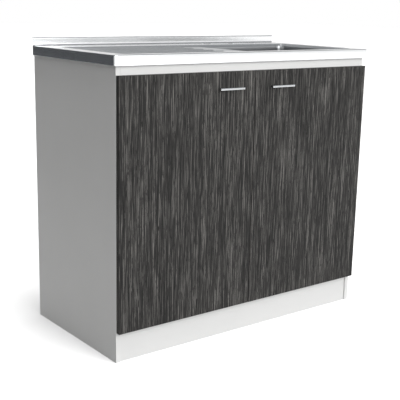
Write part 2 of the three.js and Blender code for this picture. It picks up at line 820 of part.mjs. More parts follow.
function sinkDeck() {
  const under = topHeight - apronHeight;
  const past = 50;
  let deck = softBlock(0, under, topHeight, topEdgeRadius);
  deck = deck.subtract(softBlock(sheet, under - 1, topHeight - sheet, topEdgeRadius - sheet));
  const behind = boxBetween(-topWidth, topWidth, topBack, topBack + past, 0, topHeight + past);
  deck = deck.subtract(solidOf(behind)).add(upstand());

  // The sunk panel: a tray under the sheet, then the hollow cut into it.
  const trayBottom = panelZ - sheet;
  const wallGrow = sheet;
  deck = deck.add(taperedBlock(
    sunkPanel, trayBottom, topHeight - sheet / 2, wallGrow - panelSlope, wallGrow,
  ));
  deck = deck.subtract(taperedBlock(sunkPanel, panelZ, topHeight, -panelSlope, 0));
  deck = deck.subtract(taperedBlock(sunkPanel, topHeight - sheet / 4, topHeight + 1, 0, 0));

  for (const rib of ribPlaces()) {
    const crown = panelZ + ribHeight;
    deck = deck.add(taperedBlock(rib, panelZ - sheet / 2, crown, 0, -ribSlope));
  }
  for (const rib of ribPlaces()) {
    const hollowTop = panelZ + ribHeight - sheet;
    deck = deck.subtract(taperedBlock(rib, trayBottom - 1, hollowTop, -sheet, -sheet - ribSlope));
  }
  deck = deck.subtract(taperedBlock(bowlMouth, trayBottom - 1, topHeight, 0, 0));

  const tapY = topBack - tapHoleFromBack;
  for (const step of [-1, 0, 1]) {
    const x = bowlCentreX + step * tapHolePitch;
    const hole = uprightCylinder(x, tapY, tapHoleRadius, topHeight - 5, topHeight + 5);
    deck = deck.subtract(solidOf(hole));
  }
  return deck;
}

// Bowl: flange, drafted walls, a round floor edge and a floor that falls to
// the waste, as one loop of rings round the inside and back up the outside.
function sinkBowl() {
  const sideSteps = 8;
  const ring = (inset, z) => roundedRing(
    bowlCentreX, bowlCentreY, bowlWidth - 2 * inset, bowlLength - 2 * inset,
    bowlCornerRadius - inset, z, bowlTurnSteps, sideSteps,
  );
  const floorSteps = 5;
  const inner = [ring(0, bowlTop)];
  const outer = [ring(-sheet, bowlTop - sheet)];
  for (let step = 0; step <= floorSteps; step += 1) {
    const angle = step / floorSteps * Math.PI / 2;
    const acrossShare = 1 - Math.cos(angle);
    const downShare = 1 - Math.sin(angle);
    inner.push(ring(
      bowlDraft + bowlFloorRadius * acrossShare, bowlFloorZ + bowlFloorRadius * downShare,
    ));
    const outerRadius = bowlFloorRadius + sheet;
    outer.push(ring(
      bowlDraft - sheet + outerRadius * acrossShare,
      bowlFloorZ - sheet + outerRadius * downShare,
    ));
  }
  const floorRing = inner[inner.length - 1];
  const circle = (radius, z) => circleLike(floorRing, bowlCentreX, bowlCentreY, radius, z);
  const seatRadius = wasteFlangeRadius + wasteSeatMargin;
  const rings = [
    ring(-bowlFlange, bowlTop - sheet),
    ring(-bowlFlange, bowlTop),
    ...inner,
    circle(seatRadius, wasteSeatZ),
    circle(wasteHoleRadius, wasteSeatZ),
    circle(wasteHoleRadius, wasteSeatZ - sheet),
    circle(seatRadius, wasteSeatZ - sheet),
    ...outer.reverse(),
  ];
  return solidOf(skinOver(rings, true));
}

// Waste: a flange in the bowl, a cup below it and a tail for the pipe.
function wasteBody() {
  const cupBottom = wasteTop - wasteCupDepth;
  const tailEnd = cupBottom - wasteTailLength;
  const inside = wasteCupRadius - wasteWall;
  const profile = [
    [wasteTailRadius - wasteWall, tailEnd],
    [wasteTailRadius, tailEnd],
    [wasteTailRadius, cupBottom - wasteWall],
    [wasteCupRadius - wasteCupBevel, cupBottom - wasteWall],
    [wasteCupRadius, cupBottom + wasteCupBevel],
    [wasteCupRadius, wasteTop - wasteFlangeThickness],
    [wasteFlangeRadius, wasteTop - wasteFlangeThickness],
    [wasteFlangeRadius - wasteFlangeBevel, wasteTop],
    [inside, wasteTop - wasteLipDrop],
    [inside, cupBottom + wasteCupBevel],
    [inside - wasteCupBevel, cupBottom],
    [wasteTailRadius - wasteWall, cupBottom],
    [wasteTailRadius - wasteWall, tailEnd],
  ];
  return solidOf(turned(profile, bowlCentreX, bowlCentreY));
}

// Rectangular ring turned about the waste's axis.
function wasteRing(innerRadius, outerRadius, lowZ, highZ) {
  const profile = [
    [innerRadius, lowZ],
    [outerRadius, lowZ],
    [outerRadius, highZ],
    [innerRadius, highZ],
    [innerRadius, lowZ],
  ];
  return solidOf(turned(profile, bowlCentreX, bowlCentreY));
}

// Basket: a rim on the waste's cup, a pierced bowl, a stopper and a knob.
function basketStrainer() {
  const rimTop = wasteTop;
  const floorTop = rimTop - basketCupDepth;
  const floorUnder = floorTop - basketWall;
  const cupBottom = wasteTop - wasteCupDepth;
  const stopperUnder = cupBottom + seatGap;
  const stopperTop = stopperUnder + basketStopperThickness;
  const knobTop = rimTop + basketKnobHeight;
  const cupInside = basketCupRadius - basketWall;
  const profile = [
    [0, stopperUnder],
    [basketStopperRadius, stopperUnder],
    [basketStopperRadius, stopperTop],
    [basketStemRadius, stopperTop],
    [basketStemRadius, floorUnder],
    [basketCupRadius - basketBevel, floorUnder],
    [basketCupRadius, floorUnder + basketBevel],
    [basketCupRadius, rimTop - basketRimSlope - basketWall],
    [basketRimRadius, rimTop - basketWall],
    [basketRimRadius, rimTop],
    [cupInside, rimTop - basketRimSlope],
    [cupInside, floorTop + basketBevel],
    [cupInside - basketBevel, floorTop],
    [basketStemRadius, floorTop],
    [basketStemRadius, knobTop - basketKnobThickness - 2 * basketKnobBevel],
    [basketKnobRadius, knobTop - basketKnobThickness],
    [basketKnobRadius, knobTop - basketKnobBevel],
    [basketKnobRadius - basketKnobBevel, knobTop],
    [0, knobTop],
  ];
  let basket = solidOf(turned(profile, bowlCentreX, bowlCentreY));
  const holeRow = (basketCupRadius + basketStemRadius) / 2;
  for (let i = 0; i < basketHoleCount; i += 1) {
    const angle = i / basketHoleCount * 2 * Math.PI;
    const x = bowlCentreX + holeRow * Math.cos(angle);
    const y = bowlCentreY + holeRow * Math.sin(angle);
    const hole = uprightCylinder(x, y, basketHoleRadius, floorUnder - 1, floorTop + 1, 8);
    basket = basket.subtract(solidOf(hole));
  }
  return basket;
}

function addSink() {
  addPiece('sink_deck', sinkDeck(), stainless);
  addPiece('sink_bowl', sinkBowl(), stainless);
  addPiece('waste_body', wasteBody(), stainless);
  const gasketTop = wasteSeatZ - sheet - seatGap;
  const gasketBottom = gasketTop - gasketThickness;
  const ringInner = wasteCupRadius + seatGap;
  addPiece('waste_gasket', wasteRing(ringInner, gasketRadius, gasketBottom, gasketTop), blackRubber);
  const nutTop = gasketBottom - seatGap;
  addPiece('waste_nut', wasteRing(ringInner, nutRadius, nutTop - nutHeight, nutTop), zinc);
  addPiece('basket_strainer', basketStrainer(), stainless);
}

addCabinet();
addDoors();
addHinges();
addSink();

export default unit;
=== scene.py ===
# Kitchen sink unit: a white board cabinet with two charcoal wood-grain doors on
# concealed hinges, under a pressed stainless steel sink top with a ribbed
# drainer, a bowl, a tap ledge and a low upstand.
# Metres, +Z up, the doors face -Y. Sizes in this file are written in millimetres
# and multiplied by MM where they are used.

import math

import bmesh
import bpy
import numpy as np
from mathutils import Matrix, Vector


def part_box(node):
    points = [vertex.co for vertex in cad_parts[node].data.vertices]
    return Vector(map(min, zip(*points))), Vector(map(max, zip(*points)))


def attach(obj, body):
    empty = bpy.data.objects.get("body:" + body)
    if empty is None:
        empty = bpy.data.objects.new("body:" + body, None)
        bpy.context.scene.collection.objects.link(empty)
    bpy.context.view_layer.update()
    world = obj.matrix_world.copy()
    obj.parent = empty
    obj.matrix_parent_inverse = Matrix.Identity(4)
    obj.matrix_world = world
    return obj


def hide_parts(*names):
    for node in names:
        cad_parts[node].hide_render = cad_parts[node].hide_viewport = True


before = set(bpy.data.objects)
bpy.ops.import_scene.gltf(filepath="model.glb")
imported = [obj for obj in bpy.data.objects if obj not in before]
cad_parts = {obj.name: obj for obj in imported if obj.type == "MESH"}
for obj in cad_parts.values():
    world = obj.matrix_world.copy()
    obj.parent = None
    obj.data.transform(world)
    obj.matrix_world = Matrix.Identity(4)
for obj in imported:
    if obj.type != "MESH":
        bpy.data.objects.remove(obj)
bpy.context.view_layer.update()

MM = 0.001
SIDES = (("left", -1), ("right", 1))
LEVELS = ("upper", "lower")

# ------------------------------------------------------- places from the frame

deck_low, deck_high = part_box("sink_deck")
waste_low, waste_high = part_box("waste_body")
cabinet_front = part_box("left_side_panel")[0].y
cabinet_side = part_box("right_side_panel")[1].x
front_y = deck_low.y
side_x = deck_high.x


# ------------------------------------------------------------------- the camera

CAMERA_PLACE = (-1.70296, -2.17096, 1.03342)
CAMERA_YAW = 0.6595  # right of straight ahead
CAMERA_PITCH = 0.2311  # down
CAMERA_ROLL = 0.0219
CAMERA_LENS = 75.61  # mm on a 36 mm sensor


def add_camera():
    """Aim: forward = (sin yaw cos pitch, cos yaw cos pitch, -sin pitch), turned by
    the roll about it."""
    yaw, pitch = CAMERA_YAW, CAMERA_PITCH
    forward = Vector((
        math.sin(yaw) * math.cos(pitch), math.cos(yaw) * math.cos(pitch), -math.sin(pitch),
    ))
    right = forward.cross(Vector((0, 0, 1))).normalized()
    up = right.cross(forward)
    turned_right = math.cos(CAMERA_ROLL) * right + math.sin(CAMERA_ROLL) * up
    turned_up = math.cos(CAMERA_ROLL) * up - math.sin(CAMERA_ROLL) * right
    data = bpy.data.cameras.new("camera")
    data.lens = CAMERA_LENS
    data.clip_end = 100
    camera = bpy.data.objects.new("camera", data)
    bpy.context.collection.objects.link(camera)
    camera.matrix_world = Matrix.Translation(CAMERA_PLACE) @ Matrix(
        (turned_right, turned_up, -forward)
    ).transposed().to_4x4()
    bpy.context.scene.camera = camera


# --------------------------------------------------------------- nodes, colours


def linear(code):
    """Turn an sRGB hex code into a linear colour: ((c + 0.055) / 1.055) ^ 2.4 above the toe."""
    channels = [int(code[i:i + 2], 16) / 255 for i in (0, 2, 4)]
    bent = [c / 12.92 if c <= 0.04045 else ((c + 0.055) / 1.055) ** 2.4 for c in channels]
    return (*bent, 1.0)


def add(tree, kind, inputs=None, **settings):
    """Add a node: settings are its own, inputs pair a socket with a value or another node's output."""
    node = tree.nodes.new(kind)
    for key, value in settings.items():
        setattr(node, key, value)
    for key, value in (inputs or {}).items():
        if isinstance(value, bpy.types.NodeSocket):
            tree.links.new(value, node.inputs[key])
        else:
            node.inputs[key].default_value = value
    return node


def new_material(name):
    """A material with only its output node, and the tree to build it in."""
    material = bpy.data.materials.new(name)
    material.use_nodes = True
    tree = material.node_tree
    tree.nodes.clear()
    return material, tree, tree.nodes.new("ShaderNodeOutputMaterial")


def close(tree, output, shader):
    tree.links.new(shader.outputs[0], output.inputs["Surface"])


# ------------------------------------------------------------------- materials


def white_melamine():
    """Melamine-faced particle board, pressed against a satin plate: an even white
    with a faint orange peel that softens its reflections."""
    material, tree, output = new_material("white_melamine_board")
    place = add(tree, "ShaderNodeTexCoord").outputs["Object"]
    peel = add(tree, "ShaderNodeTexNoise", {
        "Vector": place, "Scale": 1 / (2.2 * MM), "Detail": 2.0, "Roughness": 0.5,
    })
    cloud = add(tree, "ShaderNodeTexNoise", {
        "Vector": place, "Scale": 1 / (180 * MM), "Detail": 3.0, "Roughness": 0.55,
    })
    tone = add(tree, "ShaderNodeMix", {
        0: cloud.outputs["Fac"], 6: linear("E2E2E1"), 7: linear("E9E9E8"),
    }, data_type="RGBA")
    gloss = add(tree, "ShaderNodeMapRange", {
        "Value": cloud.outputs["Fac"], "To Min": 0.42, "To Max": 0.52,
    })
    bump = add(tree, "ShaderNodeBump", {
        "Height": peel.outputs["Fac"], "Strength": 0.12, "Distance": 0.05 * MM,
    })
    shader = add(tree, "ShaderNodeBsdfPrincipled", {
        "Base Color": tone.outputs[2], "Roughness": gloss.outputs[0],
        "IOR": 1.5, "Normal": bump.outputs[0],
    })
    close(tree, output, shader)
    return material


def charcoal_grain():
    """Charcoal melamine with a printed and embossed linear wood grain: straight
    upright fibres 1 to 3 mm wide whose tones drift over a hand's length, broken
    by fine dark pores."""
    material, tree, output = new_material("charcoal_grain_board")
    place = add(tree, "ShaderNodeTexCoord").outputs["Object"]
    spot = add(tree, "ShaderNodeSeparateXYZ", {0: place})
    around = add(tree, "ShaderNodeMath", {0: spot.outputs["X"], 1: spot.outputs["Y"]}, operation="ADD")
    drift = add(tree, "ShaderNodeTexNoise", {
        "Vector": place, "Scale": 1 / (260 * MM), "Detail": 1.0,
    })
    across = add(tree, "ShaderNodeMath", {
        0: drift.outputs["Fac"], 1: 4 * MM, 2: around.outputs[0],
    }, operation="MULTIPLY_ADD")

    def fibres(width, length, seed):
        """Columns of one width side by side, each with noise of its own along its length."""
        column = add(tree, "ShaderNodeMath", {0: across.outputs[0], 1: width * MM}, operation="SNAP")
        point = add(tree, "ShaderNodeCombineXYZ", {
            "X": column.outputs[0], "Y": seed, "Z": spot.outputs["Z"],
        })
        drawn = add(tree, "ShaderNodeMapping", {
            "Vector": point.outputs[0], "Scale": (7.3 / (width * MM), 1, 1 / (length * MM)),
        })
        return add(tree, "ShaderNodeTexNoise", {
            "Vector": drawn.outputs[0], "Scale": 1.0, "Detail": 2.0, "Roughness": 0.5,
        }).outputs["Fac"]

    fine = fibres(1.3, 90, 1.7)
    broad = fibres(2.6, 170, 5.2)
    bands = fibres(14, 400, 9.4)
    pair = add(tree, "ShaderNodeMath", {0: broad, 1: 0.8, 2: fine}, operation="MULTIPLY_ADD")
    trio = add(tree, "ShaderNodeMath", {0: bands, 1: 0.25, 2: pair.outputs[0]}, operation="MULTIPLY_ADD")
    spread = add(tree, "ShaderNodeMapRange", {
        "Value": trio.outputs[0], "From Min": 0.69, "From Max": 1.35, "To Min": 0.0, "To Max": 1.0,
    })
    pores = add(tree, "ShaderNodeMapRange", {
        "Value": fibres(0.9, 38, 3.1), "From Min": 0.36, "From Max": 0.43, "To Min": 0.12, "To Max": 1.0,
    })
    shade = add(tree, "ShaderNodeMath", {
        0: spread.outputs[0], 1: pores.outputs[0],
    }, operation="MULTIPLY")
    tone = add(tree, "ShaderNodeValToRGB", {"Fac": shade.outputs[0]})
    ramp = tone.color_ramp
    ramp.elements[0].position = 0.0
    ramp.elements[0].color = linear("070707")
    ramp.elements[1].position = 1.0
    ramp.elements[1].color = linear("787673")
    middle = ramp.elements.new(0.5)
    middle.color = linear("2A2928")
    bump = add(tree, "ShaderNodeBump", {
        "Height": shade.outputs[0], "Strength": 0.3, "Distance": 0.12 * MM,
    })
    shader = add(tree, "ShaderNodeBsdfPrincipled", {
        "Base Color": tone.outputs[0], "Roughness": 0.62, "IOR": 1.45, "Specular IOR Level": 0.22,
        "Normal": bump.outputs[0],
    })
    close(tree, output, shader)
    return material


def lacquered_hardboard():
    """Thin fibreboard with a white lacquer rolled on: matt, with the faint weave
    of the pressing screen."""
    material, tree, output = new_material("lacquered_hardboard")
    place = add(tree, "ShaderNodeTexCoord").outputs["Object"]
    screen = add(tree, "ShaderNodeTexNoise", {
        "Vector": place, "Scale": 1 / (1.6 * MM), "Detail": 1.0,
    })
    cloud = add(tree, "ShaderNodeTexNoise", {
        "Vector": place, "Scale": 1 / (120 * MM), "Detail": 4.0,
    })
    tone = add(tree, "ShaderNodeMix", {
        0: cloud.outputs["Fac"], 6: linear("D6D5D2"), 7: linear("E2E1DE"),
    }, data_type="RGBA")
    bump = add(tree, "ShaderNodeBump", {
        "Height": screen.outputs["Fac"], "Strength": 0.25, "Distance": 0.08 * MM,
    })
    shader = add(tree, "ShaderNodeBsdfPrincipled", {
        "Base Color": tone.outputs[2], "Roughness": 0.7, "IOR": 1.5, "Normal": bump.outputs[0],
    })
    close(tree, output, shader)
    return material


def brushed_metal(name, pale, deep, roughness, grit, stroke):
    """Metal drawn through a grit: fine lines along the width, grit apart and
    stroke long, that spread its reflections a little."""
    material, tree, output = new_material(name)
    place = add(tree, "ShaderNodeTexCoord").outputs["Object"]
    drawn = add(tree, "ShaderNodeMapping", {
        "Vector": place, "Scale": (1 / (stroke * MM), 1 / (grit * MM), 1 / (grit * MM)),
    })
    lines = add(tree, "ShaderNodeTexNoise", {
        "Vector": drawn.outputs[0], "Scale": 1.0, "Detail": 2.0, "Roughness": 0.6,
    })
    cloud = add(tree, "ShaderNodeTexNoise", {
        "Vector": place, "Scale": 1 / (90 * MM), "Detail": 3.0,
    })
    tone = add(tree, "ShaderNodeMix", {
        0: cloud.outputs["Fac"], 6: linear(deep), 7: linear(pale),
    }, data_type="RGBA")
    gloss = add(tree, "ShaderNodeMapRange", {
        "Value": lines.outputs["Fac"], "From Min": 0.3, "From Max": 0.7,
        "To Min": roughness - 0.06, "To Max": roughness + 0.06,
    })
    bump = add(tree, "ShaderNodeBump", {
        "Height": lines.outputs["Fac"], "Strength": 0.08, "Distance": 0.02 * MM,
    })
    shader = add(tree, "ShaderNodeBsdfPrincipled", {
        "Base Color": tone.outputs[2], "Metallic": 1.0, "Roughness": gloss.outputs[0],
        "Normal": bump.outputs[0],
    })
    close(tree, output, shader)
    return material


def pressed_steel():
    """Stainless sheet of the sink top, polished on its rims, ledge and apron, and
    ground satin where it was drawn deeper. The sunk drainer is coloured greyer and
    the bowl greyer still: painted shade, for the dimmer reflections down in these
    recesses. The height of the surface sets the satin roughness and the painted shade."""
    material, tree, output = new_material("pressed_stainless")
    place = add(tree, "ShaderNodeTexCoord").outputs["Object"]
    spot = add(tree, "ShaderNodeSeparateXYZ", {0: place})
    drawn = add(tree, "ShaderNodeMapping", {
        "Vector": place, "Scale": (1 / (70 * MM), 1 / (0.6 * MM), 1 / (0.6 * MM)),
    })
    lines = add(tree, "ShaderNodeTexNoise", {
        "Vector": drawn.outputs[0], "Scale": 1.0, "Detail": 2.0, "Roughness": 0.6,
    })

    def below(high, low):
        """1 where the surface lies below low, 0 above high, both in millimetres."""
        return add(tree, "ShaderNodeMapRange", {
            "Value": spot.outputs["Z"], "From Min": low * MM, "From Max": high * MM,
            "To Min": 1.0, "To Max": 0.0,
        }).outputs[0]

    def product(one, other):
        return add(tree, "ShaderNodeMath", {0: one, 1: other}, operation="MULTIPLY").outputs[0]

    def blend(share, one, other):
        return add(tree, "ShaderNodeMix", {0: share, 6: one, 7: other}, data_type="RGBA").outputs[2]

    behind_apron = add(tree, "ShaderNodeMath", {
        0: spot.outputs["Y"], 1: front_y + 1 * MM,
    }, operation="GREATER_THAN")
    sideways = add(tree, "ShaderNodeMath", {0: spot.outputs["X"]}, operation="ABSOLUTE")
    within_aprons = add(tree, "ShaderNodeMath", {
        0: sideways.outputs[0], 1: side_x - 1 * MM,
    }, operation="LESS_THAN")
    inner = product(behind_apron.outputs[0], within_aprons.outputs[0])
    # Masks of the sunk panel and of the bowl: the panel mask sets the real satin roughness, and both
    # masks set painted shade in the colour.
    panel_share = product(below(891.4, 887), inner)
    bowl_painted_shade_share = product(below(885, 876), inner)
    polished = blend(inner, linear("EDEEEF"), linear("EEEFF0"))
    # Painted shade: the drainer colour BEC0C2 and the bowl colour 929496 are greyer than the rims to
    # stand in for the dimmer reflections in the recesses. The satin finish itself is only the raised
    # roughness below.
    satin = blend(panel_share, polished, linear("BEC0C2"))
    tone = blend(bowl_painted_shade_share, satin, linear("929496"))
    ground = add(tree, "ShaderNodeMath", {0: panel_share, 1: 0.13, 2: 0.13}, operation="MULTIPLY_ADD")
    gloss = add(tree, "ShaderNodeMath", {
        0: lines.outputs["Fac"], 1: 0.1, 2: ground.outputs[0],
    }, operation="MULTIPLY_ADD")
    bump = add(tree, "ShaderNodeBump", {
        "Height": lines.outputs["Fac"], "Strength": 0.08, "Distance": 0.02 * MM,
    })
    shader = add(tree, "ShaderNodeBsdfPrincipled", {
        "Base Color": tone, "Metallic": 1.0, "Roughness": gloss.outputs[0],
        "Specular Tint": (0.8, 0.8, 0.8, 1.0), "Normal": bump.outputs[0],
    })
    close(tree, output, shader)
    return material


def plated(name, pale, deep, roughness, speck):
    """Plated steel: an even metal whose gloss varies in soft specks."""
    material, tree, output = new_material(name)
    place = add(tree, "ShaderNodeTexCoord").outputs["Object"]
    specks = add(tree, "ShaderNodeTexNoise", {
        "Vector": place, "Scale": 1 / (speck * MM), "Detail": 3.0,
    })
    tone = add(tree, "ShaderNodeMix", {
        0: specks.outputs["Fac"], 6: linear(deep), 7: linear(pale),
    }, data_type="RGBA")
    gloss = add(tree, "ShaderNodeMapRange", {
        "Value": specks.outputs["Fac"], "To Min": roughness * 0.8, "To Max": roughness * 1.25,
    })
    shader = add(tree, "ShaderNodeBsdfPrincipled", {
        "Base Color": tone.outputs[2], "Metallic": 1.0, "Roughness": gloss.outputs[0],
    })
    close(tree, output, shader)
    return material


def moulded(name, colour, roughness, speck):
    """Moulded rubber or plastic: matt, with a fine mould texture."""
    material, tree, output = new_material(name)
    place = add(tree, "ShaderNodeTexCoord").outputs["Object"]
    grain = add(tree, "ShaderNodeTexNoise", {
        "Vector": place, "Scale": 1 / (speck * MM), "Detail": 2.0,
    })
    gloss = add(tree, "ShaderNodeMapRange", {
        "Value": grain.outputs["Fac"], "To Min": roughness - 0.1, "To Max": roughness + 0.1,
    })
    bump = add(tree, "ShaderNodeBump", {
        "Height": grain.outputs["Fac"], "Strength": 0.2, "Distance": 0.03 * MM,
    })
    shader = add(tree, "ShaderNodeBsdfPrincipled", {
        "Base Color": linear(colour), "Roughness": gloss.outputs[0], "Normal": bump.outputs[0],
    })
    close(tree, output, shader)
    return material


melamine = white_melamine()
grain = charcoal_grain()
hardboard = lacquered_hardboard()
steel = brushed_metal("satin_stainless", "CFD1D2", "C6C8CA", 0.3, 0.5, 60)
top_steel = pressed_steel()
chrome = plated("bright_chrome", "C0C2C4", "B8BABC", 0.1, 14)
nickel = plated("nickel_plate", "BDBAB4", "B2AFA9", 0.26, 5)
zinc = plated("zinc_plate", "ABADAE", "96989A", 0.4, 3)
rubber = moulded("black_rubber", "1C1C1D", 0.75, 0.6)
silicone = moulded("clear_silicone", "C9CBCB", 0.35, 1.5)

# ------------------------------------------------------------- surfaces, pieces


def grid_quads(rows, columns, wrap_rows=False, wrap_columns=False):
    """Quads of a grid of points numbered row by row; a wrapped side joins its last line to its first."""
    row = np.arange(rows if wrap_rows else rows - 1)
    column = np.arange(columns if wrap_columns else columns - 1)
    r, c = np.meshgrid(row, column, indexing="ij")
    r2, c2 = (r + 1) % rows, (c + 1) % columns
    quads = np.stack([r * columns + c, r * columns + c2, r2 * columns + c2, r2 * columns + c], -1)
    return quads.reshape(-1, 4)


def surface(points, wrap_rows=False, wrap_columns=False, keep=None):
    """A grid of points (rows, columns, 3) as (points, quads). keep marks the cells that stay."""
    rows, columns = points.shape[:2]
    quads = grid_quads(rows, columns, wrap_rows, wrap_columns)
    if keep is not None:
        quads = quads[keep.reshape(-1)]
    return points.reshape(-1, 3), quads


def finish_mesh(bm, angle):
    """Normals outwards, smooth faces, and sharp edges where faces meet past the angle."""
    bmesh.ops.recalc_face_normals(bm, faces=bm.faces[:])
    for face in bm.faces:
        face.smooth = True
    for edge in bm.edges:
        if len(edge.link_faces) == 2 and edge.calc_face_angle(0) > math.radians(angle):
            edge.smooth = False


def place_piece(obj, material, body, replaced):
    obj.data.materials.clear()
    obj.data.materials.append(material)
    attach(obj, body)
    if replaced:
        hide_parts(*replaced)


def make_piece(name, surfaces, material, body, replaced=(), angle=35, top=False):
    """One object from several surfaces: their points are joined and doubles merged.
    top says that the piece is an open sheet whose upper side is its outside."""
    points, quads, start = [], [], 0
    for some_points, some_quads in surfaces:
        points.append(some_points)
        quads.append(some_quads + start)
        start += len(some_points)
    mesh = bpy.data.meshes.new(name)
    mesh.from_pydata(np.concatenate(points).tolist(), [], np.concatenate(quads).tolist())
    bm = bmesh.new()
    bm.from_mesh(mesh)
    bmesh.ops.remove_doubles(bm, verts=bm.verts[:], dist=0.002 * MM)
    finish_mesh(bm, angle)
    if top and sum(face.normal.z * face.calc_area() for face in bm.faces) < 0:
        bmesh.ops.reverse_faces(bm, faces=bm.faces[:])
    bm.to_mesh(mesh)
    bm.free()
    obj = bpy.data.objects.new(name, mesh)
    bpy.context.collection.objects.link(obj)
    place_piece(obj, material, body, replaced)
    return obj


def eased_copy(node, name, material, body, edge, steps=2):
    """The node's solid with its loose triangles merged into flat faces, and its
    edges eased by a bevel of edge millimetres."""
    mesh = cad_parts[node].data.copy()
    mesh.name = name
    bm = bmesh.new()
    bm.from_mesh(mesh)
    bmesh.ops.remove_doubles(bm, verts=bm.verts[:], dist=0.002 * MM)
    bmesh.ops.dissolve_limit(
        bm, angle_limit=math.radians(1), verts=bm.verts[:], edges=bm.edges[:],
    )
    finish_mesh(bm, 35)
    bm.to_mesh(mesh)
    bm.free()
    obj = bpy.data.objects.new(name, mesh)
    bpy.context.collection.objects.link(obj)
    bevel = obj.modifiers.new("eased_edges", "BEVEL")
    bevel.width = edge * MM
    bevel.segments = steps
    bevel.limit_method = "ANGLE"
    bevel.angle_limit = math.radians(35)
    bevel.harden_normals = True
    place_piece(obj, material, body, [node])
    return obj


def arc(start, end, steps):
    """Angles from start to end in degrees, as radians."""
    return np.radians(np.linspace(start, end, steps + 1))


def softened(path, cut, steps=4):
    """A path of points whose inner corners become quadratic curves that leave and
    meet their sides at the distance cut, or at 0.45 of a shorter side."""
    path = np.array(path, float)
    points = [path[0]]
    for before, corner, after in zip(path[:-2], path[1:-1], path[2:]):
        back, on = before - corner, after - corner
        reach_back = min(cut, 0.45 * np.linalg.norm(back)) / max(np.linalg.norm(back), 1e-9)
        reach_on = min(cut, 0.45 * np.linalg.norm(on)) / max(np.linalg.norm(on), 1e-9)
        t = np.linspace(0, 1, steps + 1)[:, None]
        first, last = corner + back * reach_back, corner + on * reach_on
        points.extend((1 - t) ** 2 * first + 2 * t * (1 - t) * corner + t ** 2 * last)
    points.append(path[-1])
    return np.array(points)


def turned(profile, centre, sides=96):
    """A profile of (radius, height) turned about the upright line through centre:
    x = cx + r cos a, y = cy + r sin a, z = height."""
    profile = np.array(profile, float)
    a = np.linspace(0, 2 * math.pi, sides, endpoint=False)
    r, z = profile[:, :1], profile[:, 1:]
    x = centre[0] + r * np.cos(a)
    y = centre[1] + r * np.sin(a)
    points = np.stack([x, y, np.broadcast_to(z, x.shape)], -1)
    return surface(points, wrap_columns=True)


def turned_to(surface_made, origin, axis):
    """A surface made about the z axis, moved so that z runs from origin along axis."""
    points, quads = surface_made
    turn = Vector((0, 0, 1)).rotation_difference(Vector(axis)).to_matrix()
    return points @ np.array(turn).T + np.array(origin), quads


# ---------------------------------------------------------------- the sink top

SHEET = 0.8  # mm
PANEL_SINK = 6
PANEL_SLOPE = 5
PANEL_CORNER = 22
PANEL_SIDE_MARGIN = 40
PANEL_FRONT_MARGIN = 30
LEDGE_DEPTH = 103
RIB_COUNT = 6
RIB_PITCH = 53
RIB_WIDTH = 14
RIB_HEIGHT = 2.5
RIB_SLOPE = 4
RIB_LEFT_INSET = 32
RIB_RIGHT_END = -22
BOWL_WIDTH = 380
BOWL_LENGTH = 320
BOWL_CENTRE_X = 253
BOWL_FROM_PANEL_BACK = 14
BOWL_CORNER = 24
BOWL_LIP = 5  # rounding of the bowl's mouth
BOWL_DRAFT = 3
BOWL_FLOOR_RADIUS = 18
BOWL_DEPTH = 150
BOWL_FALL = 3
WASTE_SEAT_RADIUS = 57
WASTE_HOLE_RADIUS = 45
TAP_RADIUS = 17.5
TAP_PITCH = 101.6
TAP_FROM_BACK = 45
TAP_WINDOW = 24
TOP_EDGE = 3  # roll of the top's outer edges
TOP_CORNER = 5
APRON = 30
HEM = 4
BAND = 10  # strip along the edges that carries the roll and the apron
COVE = 4
BOWL_WINDOW = 8  # strip round the bowl's mouth

front = deck_low.y / MM
back = deck_high.y / MM
left = deck_low.x / MM
right = deck_high.x / MM
wall_face = back - SHEET
top_z = 892  # height of the rim and the ledge
wall_height = deck_high.z / MM - top_z
panel_x0, panel_x1 = left + PANEL_SIDE_MARGIN, right - PANEL_SIDE_MARGIN
panel_y0, panel_y1 = front + PANEL_FRONT_MARGIN, back - LEDGE_DEPTH
bowl_y = panel_y1 - BOWL_FROM_PANEL_BACK - BOWL_LENGTH / 2
waste_centre = (BOWL_CENTRE_X * MM, bowl_y * MM)


def smooth(t):
    """0 below 0, 1 above 1, and t t (3 - 2 t) between."""
    t = np.clip(t, 0, 1)
    return t * t * (3 - 2 * t)


def outside_rounded(x, y, x0, x1, y0, y1, radius):
    """How far (x, y) lies outside a rounded rectangle, negative inside."""
    dx = np.abs(x - (x0 + x1) / 2) - (x1 - x0) / 2 + radius
    dy = np.abs(y - (y0 + y1) / 2) - (y1 - y0) / 2 + radius
    corner = np.hypot(np.maximum(dx, 0), np.maximum(dy, 0))
    return corner + np.minimum(np.maximum(dx, dy), 0) - radius


def rib_lines():
    """The middle line of each rib, as y."""
    middle = (panel_y0 + panel_y1) / 2
    return [middle + (i - (RIB_COUNT - 1) / 2) * RIB_PITCH for i in range(RIB_COUNT)]


def deck_height(x, y):
    """Height against the rim: the sunk panel's wall is a smooth step across its
    slope, and each rib a smooth step up by the distance to its middle line."""
    outside = outside_rounded(x, y, panel_x0, panel_x1, panel_y0, panel_y1, PANEL_CORNER)
    sunk = smooth(-outside / PANEL_SLOPE)
    height = -PANEL_SINK * sunk
    x0 = panel_x0 + RIB_LEFT_INSET + RIB_WIDTH / 2
    x1 = RIB_RIGHT_END - RIB_WIDTH / 2
    for line in rib_lines():
        along = np.clip(x, x0, x1)
        away = np.hypot(x - along, y - line)
        height = height + RIB_HEIGHT * smooth((RIB_WIDTH / 2 - away) / RIB_SLOPE)
    return height


def lines_between(stops):
    """Grid lines through every stop: stops are (place, spacing up to the next)."""
    lines = []
    for (place, spacing), (next_place, _) in zip(stops[:-1], stops[1:]):
        count = max(1, round((next_place - place) / spacing))
        lines.extend(np.linspace(place, next_place, count, endpoint=False))
    lines.append(stops[-1][0])
    return np.array(lines)


